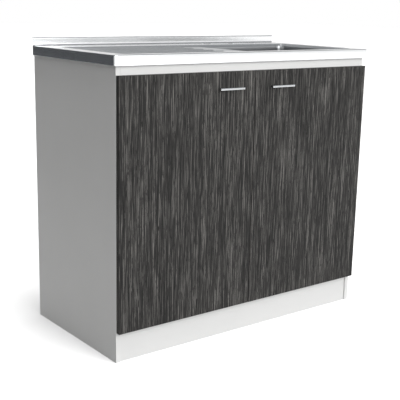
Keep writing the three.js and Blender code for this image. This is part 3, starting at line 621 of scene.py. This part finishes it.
def window_loop(xs, ys, window):
    """The grid points round a window (x0, x1, y0, y1), anticlockwise, once round."""
    x0, x1, y0, y1 = window
    wx = xs[(xs > x0 - 1e-6) & (xs < x1 + 1e-6)]
    wy = ys[(ys > y0 - 1e-6) & (ys < y1 + 1e-6)]
    loop = [(x, wy[0]) for x in wx[:-1]] + [(wx[-1], y) for y in wy[:-1]]
    loop += [(x, wy[-1]) for x in wx[:0:-1]] + [(wx[0], y) for y in wy[:0:-1]]
    return np.array(loop)


def in_window(xs, ys, window):
    """Marks the grid cells whose middle lies in the window."""
    mx, my = np.meshgrid((xs[1:] + xs[:-1]) / 2, (ys[1:] + ys[:-1]) / 2)
    x0, x1, y0, y1 = window
    return (mx > x0) & (mx < x1) & (my > y0) & (my < y1)


def deck_points(x, y, z):
    """Millimetres on the deck, with z from the rim, to metres."""
    return np.stack([x, y, top_z + z], -1) * MM


def tap_hole(loop, centre_x, centre_y):
    """Rings from a window's loop to a punched hole, whose edge is drawn down."""
    bearing = np.arctan2(loop[:, 1] - centre_y, loop[:, 0] - centre_x)
    rings = [deck_points(loop[:, 0], loop[:, 1], np.zeros(len(loop)))]
    edge = 1.2
    stops = [(TAP_RADIUS + 3, 0), (TAP_RADIUS + edge, 0)]
    stops += [
        (TAP_RADIUS + edge * (1 - math.sin(a)), -edge * (1 - math.cos(a))) for a in arc(30, 90, 3)
    ]
    for radius, z in stops:
        x = centre_x + radius * np.cos(bearing)
        y = centre_y + radius * np.sin(bearing)
        rings.append(deck_points(x, y, np.full(len(loop), float(z))))
    return surface(np.array(rings), wrap_columns=True)


def bowl_rings(loop):
    """Rings from the bowl's window into the mouth, down the drafted walls, round
    the floor's edge and in to the waste. Each point keeps its own direction away
    from the rounded rectangle, and a ring lies at one inset along it."""
    half_x, half_y = BOWL_WIDTH / 2 - BOWL_CORNER, BOWL_LENGTH / 2 - BOWL_CORNER
    px, py = loop[:, 0] - BOWL_CENTRE_X, loop[:, 1] - bowl_y
    core = np.stack([np.clip(px, -half_x, half_x), np.clip(py, -half_y, half_y)], -1)
    away = np.stack([px, py], -1) - core
    away /= np.linalg.norm(away, axis=1)[:, None]

    def ring(inset, z):
        at = core + (BOWL_CORNER - inset) * away
        return deck_points(at[:, 0] + BOWL_CENTRE_X, at[:, 1] + bowl_y, np.full(len(loop), float(z)))

    rings = [deck_points(loop[:, 0], loop[:, 1], deck_height(loop[:, 0], loop[:, 1]))]
    lip = BOWL_LIP
    for a in arc(0, 90, 6):
        rings.append(ring(-lip * (1 - math.sin(a)), -PANEL_SINK - lip * (1 - math.cos(a))))
    wall_top = PANEL_SINK + lip
    wall_bottom = PANEL_SINK + BOWL_DEPTH - BOWL_FLOOR_RADIUS
    for share in np.linspace(0, 1, 13)[1:]:
        rings.append(ring(BOWL_DRAFT * share, -(wall_top + (wall_bottom - wall_top) * share)))
    for a in arc(0, 90, 10)[1:]:
        rings.append(ring(
            BOWL_DRAFT + BOWL_FLOOR_RADIUS * (1 - math.cos(a)),
            -(wall_bottom + BOWL_FLOOR_RADIUS * math.sin(a)),
        ))
    floor = rings[-1]
    bearing = np.arctan2(floor[:, 1] - waste_centre[1], floor[:, 0] - waste_centre[0])
    seat_z = (top_z - PANEL_SINK - BOWL_DEPTH - BOWL_FALL) * MM
    seat = np.stack([
        waste_centre[0] + WASTE_SEAT_RADIUS * MM * np.cos(bearing),
        waste_centre[1] + WASTE_SEAT_RADIUS * MM * np.sin(bearing),
        np.full(len(loop), seat_z),
    ], -1)
    for share in np.linspace(0, 1, 9)[1:]:
        rings.append(floor + (seat - floor) * share)
    middle = np.array([waste_centre[0], waste_centre[1], seat_z])
    hole = middle + (seat - middle) * (WASTE_HOLE_RADIUS / WASTE_SEAT_RADIUS)
    rings.append((seat + hole) / 2)
    rings.append(hole)
    return surface(np.array(rings), wrap_columns=True)


def edge_profile():
    """The band from its flat start over the roll and down the apron to the hem:
    (how far inside the outline, height)."""
    roll = [
        (TOP_EDGE * (1 - math.sin(a)), -TOP_EDGE * (1 - math.cos(a))) for a in arc(0, 90, 5)
    ]
    bottom = -APRON
    hem_radius = 0.5
    fold = [
        (hem_radius * (1 - math.cos(a)), bottom + hem_radius * (1 - math.sin(a)))
        for a in arc(0, 90, 4)
    ]
    apron = [(0, -APRON * share) for share in (0.35, 0.65)]
    return np.array([(BAND, 0), (7, 0), (TOP_CORNER, 0)] + roll + apron + fold + [(HEM, bottom)])


def edge_band(xs, ys):
    """The outer band: points along the outline, carried over the edge profile.
    At the front corners the outline turns in fans about its corner centres."""
    quarter = arc(0, 90, 6)
    stops = []
    for y in ys[::-1]:
        stops.append(((xs[0], y), (left, y), (-1, 0), False))
    for a in quarter:
        stops.append(((left, front), (left, front), (-math.cos(a), -math.sin(a)), True))
    for x in xs:
        stops.append(((x, ys[0]), (x, front), (0, -1), False))
    for a in quarter:
        stops.append(((right, front), (right, front), (math.sin(a), -math.cos(a)), True))
    for y in ys:
        stops.append(((xs[-1], y), (right, y), (1, 0), False))
    rows = []
    for inset, z in edge_profile():
        row = []
        for _, (ox, oy), (nx, ny), corner in stops:
            if corner:
                centre_in = max(inset, TOP_CORNER)
                cx = ox + math.copysign(centre_in, -ox)
                cy = oy + centre_in
                reach = max(TOP_CORNER - inset, 0)
                row.append((cx + nx * reach, cy + ny * reach, top_z + z))
            else:
                row.append((ox - nx * inset, oy - ny * inset, top_z + z))
        rows.append(row)
    return surface(np.array(rows) * MM)


def back_wall(xs, profile):
    """The cove and the upstand. The rows climb the cove, then the wall; the
    columns beyond the band follow the edge profile, and only the cove has those
    that run down the apron."""
    flat_count = 3 + 6  # flat stops and roll of the profile
    side = profile[:flat_count]
    lead_x = np.concatenate([left + profile[::-1, 0], xs[1:-1], right - profile[:, 0]])
    lead_z = np.concatenate([profile[::-1, 1], np.zeros(len(xs) - 2), profile[:, 1]])
    cove_rows = []
    for a in arc(0, 90, 6):
        y = wall_face - COVE + COVE * math.sin(a)
        lift = COVE * (1 - math.cos(a))
        on_top = lead_z > -TOP_EDGE - 0.01
        z = lead_z + np.where(on_top, lift, 0)
        cove_rows.append(np.stack([lead_x, np.full(len(lead_x), y), top_z + z], -1))
    wall_x = np.concatenate([left + side[::-1, 0], xs[1:-1], right - side[:, 0]])
    wall_z = np.concatenate([side[::-1, 1], np.zeros(len(xs) - 2), side[:, 1]]) + COVE
    wall_rows = []
    for share in np.linspace(0, 1, 6):
        z = wall_z + (wall_height - wall_z) * share
        wall_rows.append(np.stack([wall_x, np.full(len(wall_x), wall_face), top_z + z], -1))
    return [surface(np.array(cove_rows) * MM), surface(np.array(wall_rows) * MM)]


def sink_top():
    """The pressed top as one sheet: a grid of lines over its height formula, with
    windows for the bowl and the tap holes, and a band round its edges."""
    bowl_window = (
        BOWL_CENTRE_X - BOWL_WIDTH / 2 - BOWL_WINDOW, BOWL_CENTRE_X + BOWL_WIDTH / 2 + BOWL_WINDOW,
        bowl_y - BOWL_LENGTH / 2 - BOWL_WINDOW, bowl_y + BOWL_LENGTH / 2 + BOWL_WINDOW,
    )
    corner_span = BOWL_CORNER + BOWL_WINDOW
    tap_y = back - TAP_FROM_BACK
    taps = [BOWL_CENTRE_X + k * TAP_PITCH for k in (-1, 0, 1)]
    rib_left = panel_x0 + RIB_LEFT_INSET
    x_stops = [
        (left + BAND, 7), (panel_x0 - 1, 0.7), (panel_x0 + PANEL_SLOPE + 1, 3),
        (rib_left - 1, 1), (rib_left + RIB_WIDTH, 20), (RIB_RIGHT_END - RIB_WIDTH, 1),
        (RIB_RIGHT_END + 1, 9), (bowl_window[0], 4), (bowl_window[0] + corner_span, 8),
    ]
    for tap in taps:
        x_stops += [(tap - TAP_WINDOW, 6), (tap + TAP_WINDOW, 8)]
    x_stops += [
        (bowl_window[1] - corner_span, 4), (bowl_window[1], 2),
        (panel_x1 - PANEL_SLOPE - 1, 0.7), (panel_x1 + 1, 7), (right - BAND, 1),
    ]
    y_stops = [(front + BAND, 6), (panel_y0 - 1, 0.7), (panel_y0 + PANEL_SLOPE, 1)]
    y_stops.append((bowl_window[2], 3))
    for line in rib_lines():
        y_stops += [(line - RIB_WIDTH / 2 - 1, 1), (line + RIB_WIDTH / 2 + 1, 7)]
    y_stops += [
        (bowl_window[3], 1), (panel_y1 - PANEL_SLOPE, 0.7), (panel_y1 + 1, 7),
        (tap_y - TAP_WINDOW, 6), (tap_y + TAP_WINDOW, 5), (wall_face - COVE, 1),
    ]
    y_stops.sort()
    xs, ys = lines_between(x_stops), lines_between(y_stops)
    tap_windows = [
        (tap - TAP_WINDOW, tap + TAP_WINDOW, tap_y - TAP_WINDOW, tap_y + TAP_WINDOW) for tap in taps
    ]
    keep = ~in_window(xs, ys, bowl_window)
    for window in tap_windows:
        keep &= ~in_window(xs, ys, window)
    x, y = np.meshgrid(xs, ys)
    parts = [surface(deck_points(x, y, deck_height(x, y)), keep=keep)]
    parts.append(bowl_rings(window_loop(xs, ys, bowl_window)))
    for tap, window in zip(taps, tap_windows):
        parts.append(tap_hole(window_loop(xs, ys, window), tap, tap_y))
    parts.append(edge_band(xs, ys))
    parts += back_wall(xs, edge_profile())
    top = make_piece(
        "pressed_sink_top", parts, top_steel, "cabinet",
        ["sink_deck", "sink_bowl"], angle=50, top=True,
    )
    wall = top.modifiers.new("sheet", "SOLIDIFY")
    wall.thickness = SHEET * MM
    wall.offset = -1
    wall.use_even_offset = True
    return top


# ------------------------------------------------------------ waste and strainer


def add_waste():
    """The waste's flange, cup and tail are one turned wall; the gasket and the nut
    are turned rings, and the nut's rim swells into lugs."""
    top, bottom = waste_high.z / MM, waste_low.z / MM
    wall, flange, cup, tail, cup_depth = 1.6, 55, 43.5, 20, 42
    floor = top - cup_depth
    bevel = 8
    lip_drop = 0.4  # fall of the flange towards the cup
    clearance = 0.3
    profile = softened([
        (tail - wall, bottom), (tail, bottom), (tail, floor - wall), (cup - bevel, floor - wall),
        (cup, floor + bevel), (cup, top - wall), (flange, top - wall), (flange, top),
        (cup - wall, top - lip_drop), (cup - wall, floor + bevel), (cup - wall - bevel, floor),
        (tail - wall, floor), (tail - wall, bottom),
    ], 2.5) * MM
    make_piece(
        "waste_cup", [turned(profile, waste_centre)], steel, "cabinet",
        ["waste_body"],
    )
    low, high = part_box("waste_gasket")
    inner, outer = (cup + clearance) * MM, (high.x - low.x) / 2
    section = [(inner, low.z), (outer, low.z), (outer, high.z), (inner, high.z), (inner, low.z)]
    make_piece(
        "waste_seal", [turned(softened(section, 0.6 * MM, 3), waste_centre)], rubber, "cabinet",
        ["waste_gasket"],
    )
    low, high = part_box("waste_nut")
    outer = (high.x - low.x) / 2
    section = softened([
        (inner, low.z), (outer, low.z), (outer, high.z), (inner, high.z), (inner, low.z),
    ], 1.2 * MM, 3)
    points, quads = turned(section, waste_centre, 144)
    middle = np.array(waste_centre)
    flat = points[:, :2] - middle
    radius = np.linalg.norm(flat, axis=1)
    bearing = np.arctan2(flat[:, 1], flat[:, 0])
    lugs = 8
    waist = 3 * MM * (1 - smooth(2.4 * np.cos(bearing * lugs) - 0.2))
    shrink = np.where(radius > (inner + outer) / 2, radius - waist, radius) / radius
    points[:, :2] = middle + flat * shrink[:, None]
    make_piece("waste_ring_nut", [(points, quads)], zinc, "cabinet", ["waste_nut"])


def add_strainer():
    """The basket is one thin sheet: a rim, a turned wall and a floor pierced by
    round holes. Stem, stopper and knob are one turned solid through its middle."""
    low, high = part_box("basket_strainer")
    rim_top = waste_high.z / MM
    depth, cup, rim, wall, stem = 22, 33, 40.8, 1.2, 3
    floor_radius = 27  # flat part of the floor, where the wall's rounding starts
    floor = rim_top - depth
    holes, hole_radius, row_radius, reach = 12, 2.5, 18, 4.2
    step = 2 * math.pi / holes
    angles = lines_between([
        stop for i in range(holes) for stop in (
            (i * step - reach / row_radius, reach / row_radius / 3),
            (i * step + reach / row_radius, 0.05),
        )
    ] + [(2 * math.pi - reach / row_radius, 1)])
    radii = lines_between([
        (stem - 0.5, 3), (row_radius - reach, reach / 3), (row_radius + reach, 2), (floor_radius, 1),
    ])
    keep = np.ones((len(radii) - 1, len(angles) - 1), bool)
    parts = []

    def on_floor(angle, radius):
        x = waste_centre[0] / MM + radius * np.cos(angle)
        y = waste_centre[1] / MM + radius * np.sin(angle)
        return np.stack([x, y, np.full(np.shape(x), floor)], -1) * MM

    for i in range(holes):
        window = (
            i * step - reach / row_radius, i * step + reach / row_radius,
            row_radius - reach, row_radius + reach,
        )
        keep &= ~in_window(angles, radii, window)
        loop = window_loop(angles, radii, window)
        around = np.arctan2(loop[:, 1] - row_radius, (loop[:, 0] - i * step) * row_radius)
        rings = [on_floor(loop[:, 0], loop[:, 1])]
        for radius in (hole_radius + 0.8, hole_radius):
            rings.append(on_floor(
                i * step + radius * np.cos(around) / row_radius,
                row_radius + radius * np.sin(around),
            ))
        parts.append(surface(np.array(rings), wrap_columns=True))
    angle, radius = np.meshgrid(angles, radii)
    parts.append(surface(on_floor(angle, radius), keep=keep))
    shape = softened([
        (floor_radius, floor), (cup - wall, floor), (cup - wall, rim_top - 3), (rim, rim_top),
        (rim, rim_top - wall),
    ], 4, 6)
    wall_points = np.array([
        np.stack([
            waste_centre[0] / MM + r * np.cos(angles), waste_centre[1] / MM + r * np.sin(angles),
            np.full(len(angles), z),
        ], -1) for r, z in shape
    ]) * MM
    parts.append(surface(wall_points))
    basket = make_piece(
        "strainer_basket", parts, steel, "basket_strainer", ["basket_strainer"],
        angle=60, top=True,
    )
    sheet = basket.modifiers.new("sheet", "SOLIDIFY")
    sheet.thickness = wall * MM * 0.8
    sheet.offset = -1
    knob_top = high.z / MM
    stopper = low.z / MM
    profile = softened([
        (0, stopper), (24, stopper), (24, stopper + 4), (stem, stopper + 5), (stem, knob_top - 7),
        (7, knob_top - 5), (7, knob_top - 0.5), (0, knob_top),
    ], 1.6, 5) * MM
    make_piece(
        "strainer_knob", [turned(profile, waste_centre, 64)], steel, "basket_strainer",
    )


# ----------------------------------------------------------------------- boards


def add_boards():
    """Boards keep their solids and get the small easing of a trimmed edge band."""
    for side, _ in SIDES:
        eased_copy(f"{side}_side_panel", f"{side}_side_board", melamine, "cabinet", 0.4)
        eased_copy(f"{side}_door", f"{side}_grained_door", grain, f"{side}_door", 0.7)
    for node in ("bottom_panel", "front_top_rail", "rear_top_rail", "kick_panel"):
        eased_copy(node, f"{node}_board", melamine, "cabinet", 0.4)
    eased_copy("back_panel", "back_board_sheet", hardboard, "cabinet", 0.3)


# ---------------------------------------------------------------------- handles

HANDLE_DEPTH = 5
HANDLE_EDGE = 1.1
POST_RADIUS = 2.75
POST_BORE = 1.8
POST_SPACING = 76
POST_BORE_DEPTH = 9


def rounded_ring(half_a, half_b, radius, steps=5):
    """Points round a rectangle with round corners: corner centre plus radius times (cos, sin)."""
    points = []
    for quarter, (sa, sb) in enumerate(((1, 1), (-1, 1), (-1, -1), (1, -1))):
        a = arc(90 * quarter, 90 * quarter + 90, steps)
        points.append(np.stack([
            sa * (half_a - radius) + radius * np.cos(a), sb * (half_b - radius) + radius * np.sin(a),
        ], -1))
    return np.concatenate(points)


def add_handles():
    """The bar is its rounded section carried along x, drawn in at both ends by a
    quarter circle; each post is a turned wall round its screw hole."""
    for side, _ in SIDES:
        low, high = (np.array(corner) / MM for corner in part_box(f"{side}_handle"))
        middle_y = low[1] + HANDLE_DEPTH / 2
        middle_z = (low[2] + high[2]) / 2
        half_z = (high[2] - low[2]) / 2
        stations = [
            (low[0] + HANDLE_EDGE * (1 - math.sin(a)), HANDLE_EDGE * (1 - math.cos(a)))
            for a in arc(90, 0, 5)
        ]
        stations += [(low[0] + high[0] - x, inset) for x, inset in stations[::-1]]
        rings = []
        for x, inset in stations:
            corner = HANDLE_EDGE * 1.001 - inset * 0.9
            ring = rounded_ring(HANDLE_DEPTH / 2 - inset, half_z - inset, corner)
            rings.append(np.stack([
                np.full(len(ring), x), middle_y + ring[:, 0], middle_z + ring[:, 1],
            ], -1))
        for end in (0, -1):
            centre = rings[end].mean(0)
            cap = np.repeat(centre[None], len(rings[end]), 0)
            rings = [cap] + rings if end == 0 else rings + [cap]
        parts = [surface(np.array(rings) * MM, wrap_columns=True)]
        foot = high[1]
        for offset in (-POST_SPACING / 2, POST_SPACING / 2):
            x = (low[0] + high[0]) / 2 + offset
            post_length = foot - middle_y
            bore_end = post_length - POST_BORE_DEPTH
            profile = softened([
                (0, 0), (POST_RADIUS, 0), (POST_RADIUS, post_length), (POST_BORE, post_length),
                (POST_BORE, bore_end), (0, bore_end),
            ], 0.4, 3) * MM
            post = turned(profile, (0, 0), 40)
            parts.append(turned_to(post, (x * MM, middle_y * MM, middle_z * MM), (0, 1, 0)))
        make_piece(
            f"{side}_bar_handle", parts, chrome, f"{side}_door", [f"{side}_handle"],
        )


# ----------------------------------------------------------------------- screws


def cross_head(radius, height):
    """A screw head on a polar grid: a dome, z = h (1 - 0.75 (r / R)^2) ^ 0.5, whose
    middle sinks where a cross of two bars lies, closed under its skirt."""
    rings, sides = 20, 48
    r = np.linspace(0, 1, rings)[:, None]
    a = np.linspace(0, 2 * math.pi, sides, endpoint=False)[None]
    x, y = r * np.cos(a), r * np.sin(a)
    dome = height * np.sqrt(np.clip(1 - 0.75 * r ** 2, 0, 1)) * np.ones_like(a)
    bar = 0.17
    arm = 0.62
    upright = np.maximum(np.abs(x) / bar, np.abs(y) / arm)
    level = np.maximum(np.abs(y) / bar, np.abs(x) / arm)
    across = np.minimum(upright, level)
    sunk = dome - 0.6 * height * smooth((1.25 - across) / 0.5) * (1 - 0.5 * r)
    top = np.stack([x * radius, y * radius, sunk], -1)
    skirt = np.stack([x[-1] * radius, y[-1] * radius, np.zeros(sides)], -1)
    under = np.zeros((sides, 3))
    return surface(np.concatenate([top, skirt[None], under[None]]) * MM, wrap_columns=True)


def add_screw(name, place, axis, radius, height, material, body):
    """A cross-headed screw, its head seated at place and facing along axis."""
    head = turned_to(cross_head(radius, height), place, axis)
    return make_piece(name, [head], material, body, angle=60)


# ----------------------------------------------------------------------- hinges

EAR_SCREW_U = 30.5
EAR_SCREW_V = -0.1  # seat of the heads
EAR_SCREW_REACH = 20.5  # above and below the hinge's middle
PLATE_TOP_U = 17.3
PLATE_SCREW_V = -37
PLATE_SCREW_REACH = 17
ARM_TOP_U = 33
DEPTH_SCREW_V = -52
SIDE_SCREW_V = -30


def hinge_point(side, u, v, z):
    """(u, v) of a hinge, inwards from the cabinet's side and forwards of its front, in metres."""
    return (side * (cabinet_side - u * MM), cabinet_front - v * MM, z * MM)


def add_hinges():
    """Cups, arms, plates, links and pins keep their solids with eased edges, and
    screws are set in the ears, the plates and the arms."""
    for side_name, side in SIDES:
        door, links = f"{side_name}_door", f"{side_name}_hinge_links"
        for level in LEVELS:
            name = f"{side_name}_{level}_hinge"
            low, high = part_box(f"{name}_plate")
            z = (low.z + high.z) / 2 / MM
            eased_copy(f"{name}_cup", f"{name}_cup_shell", nickel, door, 0.2)
            eased_copy(f"{name}_link", f"{name}_cranked_link", nickel, links, 0.25)
            eased_copy(f"{name}_arm", f"{name}_clip_arm", nickel, "cabinet", 0.4)
            eased_copy(f"{name}_plate", f"{name}_base_plate", nickel, "cabinet", 0.3)
            for pin in ("cup_pin", "arm_pin"):
                body = door if pin == "cup_pin" else "cabinet"
                eased_copy(f"{name}_{pin}", f"{name}_{pin}_rod", zinc, body, 0.1)
            for end, offset in (("top", 1), ("bottom", -1)):
                ear_z = z + offset * EAR_SCREW_REACH
                plate_z = z + offset * PLATE_SCREW_REACH
                add_screw(
                    f"{name}_ear_screw_{end}", hinge_point(side, EAR_SCREW_U, EAR_SCREW_V, ear_z),
                    (0, 1, 0), 3.6, 1.6, zinc, door,
                )
                add_screw(
                    f"{name}_plate_screw_{end}",
                    hinge_point(side, PLATE_TOP_U, PLATE_SCREW_V, plate_z),
                    (-side, 0, 0), 3.8, 1.8, zinc, "cabinet",
                )
            add_screw(
                f"{name}_depth_screw", hinge_point(side, ARM_TOP_U, DEPTH_SCREW_V, z), (-side, 0, 0),
                3.4, 1.2, zinc, "cabinet",
            )
            add_screw(
                f"{name}_side_screw", hinge_point(side, ARM_TOP_U, SIDE_SCREW_V, z), (-side, 0, 0),
                2.8, 1.2, zinc, "cabinet",
            )


def add_fittings():
    """Cam locks, clips, handle screws and the silicone buffers behind the doors."""
    for side, sign in SIDES:
        for place in ("bottom_front", "bottom_rear", "front_rail", "rear_rail"):
            node = f"cam_lock_{place}_{side}"
            eased_copy(node, f"{node}_head", zinc, "cabinet", 0.4)
        for place in ("front", "rear"):
            node = f"top_clip_{place}_{side}"
            eased_copy(node, f"{node}_angle", zinc, "cabinet", 0.3)
        for post in ("outer", "inner"):
            node = f"{side}_handle_screw_{post}"
            eased_copy(node, f"{node}_bolt", zinc, f"{side}_door", 0.15)
        low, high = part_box(f"{side}_door")
        for end, z in (("top", high.z - 8 * MM), ("bottom", low.z + 4 * MM)):
            x = sign * (abs(low.x if sign > 0 else high.x) + 14 * MM)
            dome = turned(softened([(0, 0), (4, 0), (3.2, 0.8), (0, 0.9)], 0.5, 4) * MM, (0, 0), 32)
            buffer = turned_to(dome, (x, high.y, z), (0, 1, 0))
            make_piece(f"{side}_door_buffer_{end}", [buffer], silicone, f"{side}_door")


# ------------------------------------------------------------- floor and lights


def add_studio():
    """A pale floor without an end in view, a large soft key in front and a soft
    light overhead. To the camera and in reflections the floor and the sky are the
    white studio; to the rest the floor is greyer and the room darker on the left."""
    mesh = bpy.data.meshes.new("floor")
    reach = 30.0
    mesh.from_pydata(
        [(-reach, -reach, 0), (reach, -reach, 0), (reach, reach, 0), (-reach, reach, 0)], [],
        [(0, 1, 2, 3)],
    )
    floor = bpy.data.objects.new("floor", mesh)
    bpy.context.collection.objects.link(floor)
    material, tree, output = new_material("studio_floor")
    tone = add(tree, "ShaderNodeMix", {
        0: seen_ray(tree), 6: linear("727272"), 7: linear("FCFCFC"),
    }, data_type="RGBA")
    shader = add(tree, "ShaderNodeBsdfDiffuse", {"Color": tone.outputs[2]})
    close(tree, output, shader)
    mesh.materials.append(material)

    world = bpy.data.worlds.new("studio")
    bpy.context.scene.world = world
    world.use_nodes = True
    tree = world.node_tree
    tree.nodes.clear()
    output = tree.nodes.new("ShaderNodeOutputWorld")
    direction = add(tree, "ShaderNodeTexCoord").outputs["Generated"]
    towards_light = (0.55, -0.8, 0.25)
    facing = add(tree, "ShaderNodeVectorMath", {0: direction, 1: towards_light}, operation="DOT_PRODUCT")
    sky = add(tree, "ShaderNodeMapRange", {
        "Value": facing.outputs["Value"], "From Min": -0.9, "From Max": 0.9,
        "To Min": 0.05, "To Max": 1.1,
    }, interpolation_type="SMOOTHSTEP")
    room = add(tree, "ShaderNodeBackground", {"Color": (1, 1, 1, 1), "Strength": sky.outputs[0]})
    white = add(tree, "ShaderNodeBackground", {"Color": (1, 1, 1, 1), "Strength": 1.0})
    mixed = add(tree, "ShaderNodeMixShader", {
        0: seen_ray(tree), 1: room.outputs[0], 2: white.outputs[0],
    })
    tree.links.new(mixed.outputs[0], output.inputs["Surface"])

    key = bpy.data.lights.new("soft_key", "AREA")
    key.size = 2.6
    key.energy = 105
    overhead = bpy.data.lights.new("overhead", "SUN")
    overhead.angle = math.radians(24)
    overhead.energy = 1.9
    for data, place in ((key, (0.5, -4.4, 2.2)), (overhead, (0.0, -0.4, 3.4))):
        lamp = bpy.data.objects.new(data.name, data)
        bpy.context.collection.objects.link(lamp)
        lamp.location = place
        aim = Vector((0, 0, 0.5)) - Vector(place)
        lamp.rotation_euler = aim.to_track_quat("-Z", "Y").to_euler()

    # Cards that only reflections show, as a studio sets them up to give bright
    # metal its grey and dark sides: one off to the left, one in place of a ceiling.
    ceiling = 3.2
    add_card("left_card", [
        (-1.5, 0.2, 0), (-1.5, 4.0, 0), (-1.5, 4.0, ceiling), (-1.5, 0.2, ceiling),
    ], "4C4E51")
    add_card("ceiling_card", [
        (-6, -6, ceiling), (6, -6, ceiling), (6, 3.2, ceiling), (-6, 3.2, ceiling),
    ], "A2A4A6")


def seen_ray(tree):
    """1 for rays from the camera and for those that a mirror or a glass sends on, else 0."""
    path = add(tree, "ShaderNodeLightPath")
    mirrored = add(tree, "ShaderNodeMath", {
        0: path.outputs["Is Camera Ray"], 1: path.outputs["Is Glossy Ray"],
    }, operation="MAXIMUM")
    return add(tree, "ShaderNodeMath", {
        0: mirrored.outputs[0], 1: path.outputs["Is Transmission Ray"],
    }, operation="MAXIMUM").outputs[0]


def add_card(name, corners, tone):
    """A flat card of one tone, unseen by the camera, that lights nothing."""
    mesh = bpy.data.meshes.new(name)
    mesh.from_pydata(corners, [], [(0, 1, 2, 3)])
    card = bpy.data.objects.new(name, mesh)
    bpy.context.collection.objects.link(card)
    material, tree, output = new_material(f"{name}_cloth")
    cloth = add(tree, "ShaderNodeEmission", {"Color": linear(tone), "Strength": 1.0})
    close(tree, output, cloth)
    mesh.materials.append(material)
    card.visible_camera = False
    card.visible_diffuse = False
    card.visible_shadow = False


add_camera()
add_studio()
bpy.context.scene.view_settings.view_transform = "Standard"
sink_top()
add_waste()
add_strainer()
add_boards()
add_handles()
add_hinges()
add_fittings()
